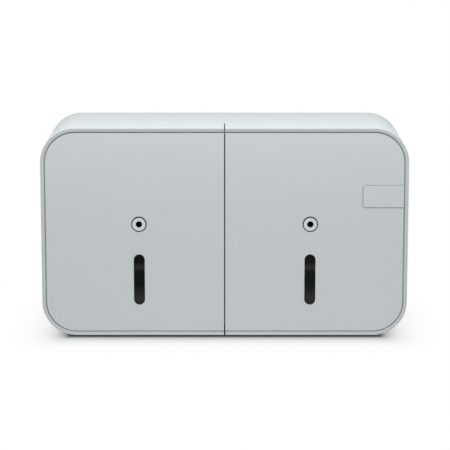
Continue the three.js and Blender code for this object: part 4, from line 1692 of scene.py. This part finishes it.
@dataclass
class RollHolder(HalfAssembly):
    """Axle, hub, brake ring and catch socket of one roll space."""

    axle_radius: float = 10 * MM
    axle_bore: float = 6.5 * MM
    nose: float = 10 * MM
    nose_round: float = 0.5 * MM
    shoulder_round: float = 0.15 * MM
    flange: float = 5 * MM
    flange_radius: float = 32 * MM
    flange_round: float = 0.6 * MM
    back_round: float = 0.3 * MM
    screw_hole: float = 2.25 * MM
    head_hole: float = 4.25 * MM
    head_depth: float = 2.9 * MM
    lip_round: float = 0.2 * MM
    hub_wall: float = 2 * MM
    sleeve: float = 2.7 * MM
    sleeve_round: float = 0.4 * MM
    hub_flange: float = 2.5 * MM
    hub_radius: float = 28 * MM
    hub_flange_radius: float = 35 * MM
    hub_nose: float = 5 * MM
    hub_nose_round: float = 2 * MM
    hub_drop: float = 1.2 * MM
    hub_rib: float = 1.8 * MM
    hub_ribs: int = 6
    root_round: float = 0.8 * MM
    rib_setback: float = 7 * MM
    fins: int = 3
    fin_turn: float = 0.5
    fin_height: float = 1 * MM
    fin_width: float = 3 * MM
    fin_length: float = 60 * MM
    felt_round: float = 0.2 * MM
    plate: float = 2 * MM
    pocket: float = 8.5 * MM
    pocket_round: float = 0.5 * MM
    cup_round: float = 1.2 * MM
    slot_reach: float = 8.2 * MM
    slot_half: float = 3.5 * MM
    slot_corner: float = 0.8 * MM
    slot_lip: float = 0.3 * MM
    socket_hole: float = 1.85 * MM
    hole_round: float = 0.1 * MM
    axle_screw: Screw = Screw(4 * MM, 2.4 * MM, 2 * MM)
    socket_screw: Screw = Screw(3 * MM, 2 * MM, 1.6 * MM)

    def build(self) -> None:
        """Builds and dresses the roll holder."""
        turning = self.named("hub")
        self.dress("axle_turning", self.axle(), "casing", INNER, "axle")
        self.dress("hub_moulding", self.hub(), turning, HUB, "roll_hub")
        brake = self.ring("brake_ring", self.axle_radius, self.felt_round)
        self.dress("brake_felt", brake, turning, BRAKE, "brake_ring")
        self.dress("socket_cup", self.socket(), "casing", INNER, "catch_socket")
        screw = self.socket_screw.body(self.named("socket_screw"), 1)
        self.dress("socket_fastener", screw, "casing", TURNED_STEEL, "socket_screw")
        for node in self.axle_screws():
            install(node.replace("screw", "fastener"), self.axle_screw.body(node, 1), "casing", STEEL, node)

    def axle(self) -> Object:
        """Makes the axle with its flange.

        Returns:
            The axle.
        """
        near, far = self.planes("axle")
        flange_front, nose_back = far - self.flange, near + self.nose
        profile = fillet([
            (self.axle_bore, far, self.back_round),
            (self.axle_bore, nose_back, self.nose_round),
            (self.socket_hole, nose_back, 0),
            (self.socket_hole, near, self.hole_round),
            (self.axle_radius, near, self.nose_round),
            (self.axle_radius, flange_front, self.shoulder_round),
            (self.flange_radius, flange_front, self.flange_round),
            (self.flange_radius, far, self.back_round),
        ])
        tools = []
        for spot in map(node_centre, self.axle_screws()):
            tools.append(rod(spot, self.screw_hole, flange_front - OVERRUN, far + OVERRUN))
            planes = flange_front, flange_front + self.head_depth
            tools.append(opening(lambda i, s=spot: circle(s, self.head_hole - i), *planes, self.lip_round))
        return polish(combine(lathe(profile, self.axis), cut=tools))

    def hub(self) -> Object:
        """Makes the hub that carries the roll's core.

        Returns:
            The hub.
        """
        near, far = self.planes("roll_hub")
        inner = self.axle_radius + CASE.bore_gap
        sleeve, wall = inner + self.sleeve, self.hub_radius - self.hub_wall
        flange_front, root = far - self.hub_flange, far - self.hub_flange / 2
        profile = fillet([
            (inner, far, self.sleeve_round),
            (inner, near, self.sleeve_round),
            (sleeve, near, self.sleeve_round),
            (sleeve, flange_front, self.root_round),
            (wall, flange_front, self.root_round),
            (wall, near, self.lip_round),
            (self.hub_radius - self.hub_drop, near, self.lip_round),
            (self.hub_radius, near + self.hub_nose, self.hub_nose_round),
            (self.hub_radius, flange_front, self.nose_round),
            (self.hub_flange_radius, flange_front, self.root_round),
            (self.hub_flange_radius, far, self.flange_round),
        ])
        middle = self.hub_radius - self.hub_wall / 2
        planes, reach = (near + self.rib_setback, root), (sleeve - self.sleeve / 2, middle)
        ribs = spokes(self.axis, reach, planes, self.hub_rib, self.hub_ribs)
        planes, reach = (flange_front - self.fin_length, root), (middle, self.hub_radius + self.fin_height)
        fins = spokes(self.axis, reach, planes, self.fin_width, self.fins, self.fin_turn)
        return polish(combine(lathe(profile, self.axis), joined=[*ribs, *fins]))

    def slot(self, inset: float) -> list[Point]:
        """The outline of the catch socket's slot, drawn in by an inset."""
        (x, z), reach, half = self.axis, self.slot_reach - inset, self.slot_half - inset
        return rounded_box((x - reach, z - half), (x + reach, z + half), self.slot_corner)

    def socket(self) -> Object:
        """Makes the slotted cup that the cam turns behind.

        Returns:
            The cup.
        """
        near, far = self.planes("catch_socket")
        radius, plate_back, floor = self.radius("catch_socket"), near + self.plate, far - self.plate
        profile = fillet([
            (self.pocket, plate_back, self.lip_round),
            (self.pocket, floor, self.pocket_round),
            (self.socket_hole, floor, 0),
            (self.socket_hole, far, 0),
            (radius, far, self.back_round),
            (radius, near, self.cup_round),
            (0, near, 0),
            (0, plate_back, 0),
        ])
        slot = opening(self.slot, near, plate_back + OVERRUN, self.slot_lip)
        return polish(combine(lathe(profile, self.axis), cut=[slot]))


# Studio


@dataclass
class Studio:
    """Floor, light and camera."""

    distance: float = 2.15
    elevation: float = math.radians(10.72)
    focal_pixels: float = 2004.0
    frame_pixels: float = 450
    sensor: float = 36.0
    far_clip: float = 100.0
    aim: Point = (0.4 * MM, 121.5 * MM)
    floor_z: float = -2.4 * MM
    floor_reach: float = 40.0
    floor_tone: float = 0.8
    # Painted shade: the darker floor tone the camera sees near the case; shadow_edge and shadow_reach set its
    # fade to white.
    seen_floor_tone: float = 0.42
    shadow_edge: float = 28 * MM
    shadow_reach: float = 15 * MM
    sky_strength: float = 0.40
    front_strength: float = 0.96
    front_elevation: float = math.radians(35)
    rear_strength: float = 0.6
    rear_elevation: float = math.radians(12)
    spread: float = math.radians(50)
    top_watts: float = 1.33
    top_height: float = 0.18
    top_lead: float = 0.05
    top_size: Point = (0.9, 0.25)

    def build(self) -> None:
        """Sets floor, world, lamps and camera."""
        self.floor()
        self.sky()
        self.wide_lamp("front", self.front_strength, -1, self.front_elevation)
        self.wide_lamp("rear", self.rear_strength, 1, self.rear_elevation)
        self.top_lamp()
        self.camera()
        bpy.context.scene.view_settings.view_transform = "Standard"

    def floor(self) -> None:
        """Lays the pale floor, which shows the camera painted shade near the case, fading to white with
        distance.
        """
        bm = bmesh.new()
        corners = [(-1, -1), (1, -1), (1, 1), (-1, 1)]
        reach = self.floor_reach
        bm.faces.new([bm.verts.new((x * reach, y * reach, self.floor_z)) for x, y in corners])
        obj = link(bm, "studio_floor")
        obj.data.materials.append(self.floor_material())

    def floor_material(self) -> bpy.types.Material:
        """Makes the floor's material: painted shade near the case, fading to white where the camera sees it.

        Returns:
            The material.
        """
        material = bpy.data.materials.new("studio_floor")
        material.use_nodes = True
        nodes, links = material.node_tree.nodes, material.node_tree.links
        wiring, shader = Wiring(material.node_tree), nodes["Principled BSDF"]
        seen = self.seen(wiring)
        tone = wiring.mix(seen, grey(self.floor_tone), grey(self.seen_floor_tone))
        links.new(tone, shader.inputs["Base Color"])
        shader.inputs["Roughness"].default_value = 1.0
        shader.inputs["Specular IOR Level"].default_value = 0.0
        white = wiring.node("Emission", {"Color": grey(1.0), "Strength": 1.0}).outputs[0]
        # Painted shade: the floor fades from its darker seen tone to white with the distance from the case.
        share = wiring.sum("MULTIPLY", seen, self.far_share(wiring))
        both = wiring.node("MixShader", {0: share, 1: shader.outputs[0], 2: white}).outputs[0]
        links.new(both, nodes["Material Output"].inputs["Surface"])
        return material

    def seen(self, wiring: Wiring) -> Socket:
        """Gives one for what the camera sees, also in reflections and through clear pieces.

        Args:
            wiring: The wiring of a material or the world.

        Returns:
            The value.
        """
        rays = wiring.node("LightPath").outputs
        seen = wiring.sum("MAXIMUM", rays["Is Camera Ray"], rays["Is Glossy Ray"])
        return wiring.sum("MAXIMUM", seen, rays["Is Transmission Ray"])

    def far_share(self, wiring: Wiring) -> Socket:
        """Gives how far the painted shade has faded to white, by the distance from the flat part of the
        underside.

        Args:
            wiring: The floor's wiring.

        Returns:
            The share.
        """
        parts, outside = wiring.axes(), {}
        for axis, edge in (("X", CASE.half_width - self.shadow_edge), ("Y", CASE.back_y)):
            past = wiring.sum("SUBTRACT", wiring.sum("ABSOLUTE", parts[axis]), edge)
            outside[axis] = wiring.sum("MAXIMUM", past, 0.0)
        away = wiring.length(wiring.joined(**outside))
        shadow = wiring.sum("EXPONENT", wiring.sum("DIVIDE", away, -self.shadow_reach))
        return wiring.sum("SUBTRACT", 1.0, shadow)

    def sky(self) -> None:
        """Sets a plain world that lights softly and shows white to the camera and in reflections."""
        world = bpy.data.worlds.new("studio")
        world.use_nodes = True
        bpy.context.scene.world = world
        wiring = Wiring(world.node_tree)
        strength = wiring.sum("MULTIPLY_ADD", self.seen(wiring), 1 - self.sky_strength, self.sky_strength)
        shader = world.node_tree.nodes["Background"]
        shader.inputs["Color"].default_value = grey(1.0)
        world.node_tree.links.new(strength, shader.inputs["Strength"])

    def lamp(self, data: bpy.types.Light, place: Vector, way: Vector, glossy: bool = True) -> None:
        """Sets a lamp in the scene.

        Args:
            data: The lamp.
            place: Where it stands.
            way: The way from what it lights to the lamp.
            glossy: Whether it shows in reflections.
        """
        obj = bpy.data.objects.new(data.name, data)
        obj.location = place
        obj.rotation_mode = "QUATERNION"
        obj.rotation_quaternion = way.to_track_quat("Z", "Y")
        obj.visible_glossy = glossy
        bpy.context.scene.collection.objects.link(obj)

    def wide_lamp(self, name: str, strength: float, toward: int, elevation: float) -> None:
        """Sets a wide, even light from afar, which glints only on what faces the front.

        Args:
            name: Its name.
            strength: Its strength.
            toward: The sign of the way along Y that it stands in.
            elevation: How high it stands.
        """
        data = bpy.data.lights.new(name, "SUN")
        data.energy = strength
        data.angle = self.spread
        way = Vector((0, toward * math.cos(elevation), math.sin(elevation)))
        self.lamp(data, way, way, glossy=toward < 0)

    def top_lamp(self) -> None:
        """Sets a soft lamp close above the front edge, so that the top darkens towards the back."""
        data = bpy.data.lights.new("top", "AREA")
        data.energy = self.top_watts
        data.shape = "RECTANGLE"
        data.size, data.size_y = self.top_size
        way = Vector((0, -self.top_lead, self.top_height))
        self.lamp(data, Vector((0, CASE.front_y, CASE.height)) + way, way)

    def camera(self) -> None:
        """Sets the camera at the photograph's viewing angle."""
        data = bpy.data.cameras.new("camera")
        data.sensor_width = self.sensor
        data.lens = self.focal_pixels / self.frame_pixels * self.sensor
        data.clip_end = self.far_clip
        obj = bpy.data.objects.new("camera", data)
        back = Vector((0, -math.cos(self.elevation), math.sin(self.elevation)))
        obj.location = Vector((self.aim[0], CASE.front_y, self.aim[1])) + back * self.distance
        obj.rotation_mode = "QUATERNION"
        obj.rotation_quaternion = (-back).to_track_quat("-Z", "Y")
        bpy.context.scene.collection.objects.link(obj)
        bpy.context.scene.camera = obj


def main() -> None:
    """Builds the dispenser and the studio."""
    logging.basicConfig(level=logging.INFO, format="%(message)s")
    Studio().build()
    RearCasing().build()
    for side in Side:
        FrontCover(side).build()
        Lock(side).build()
        RollHolder(side).build()


if __name__ == "__main__":
    main()
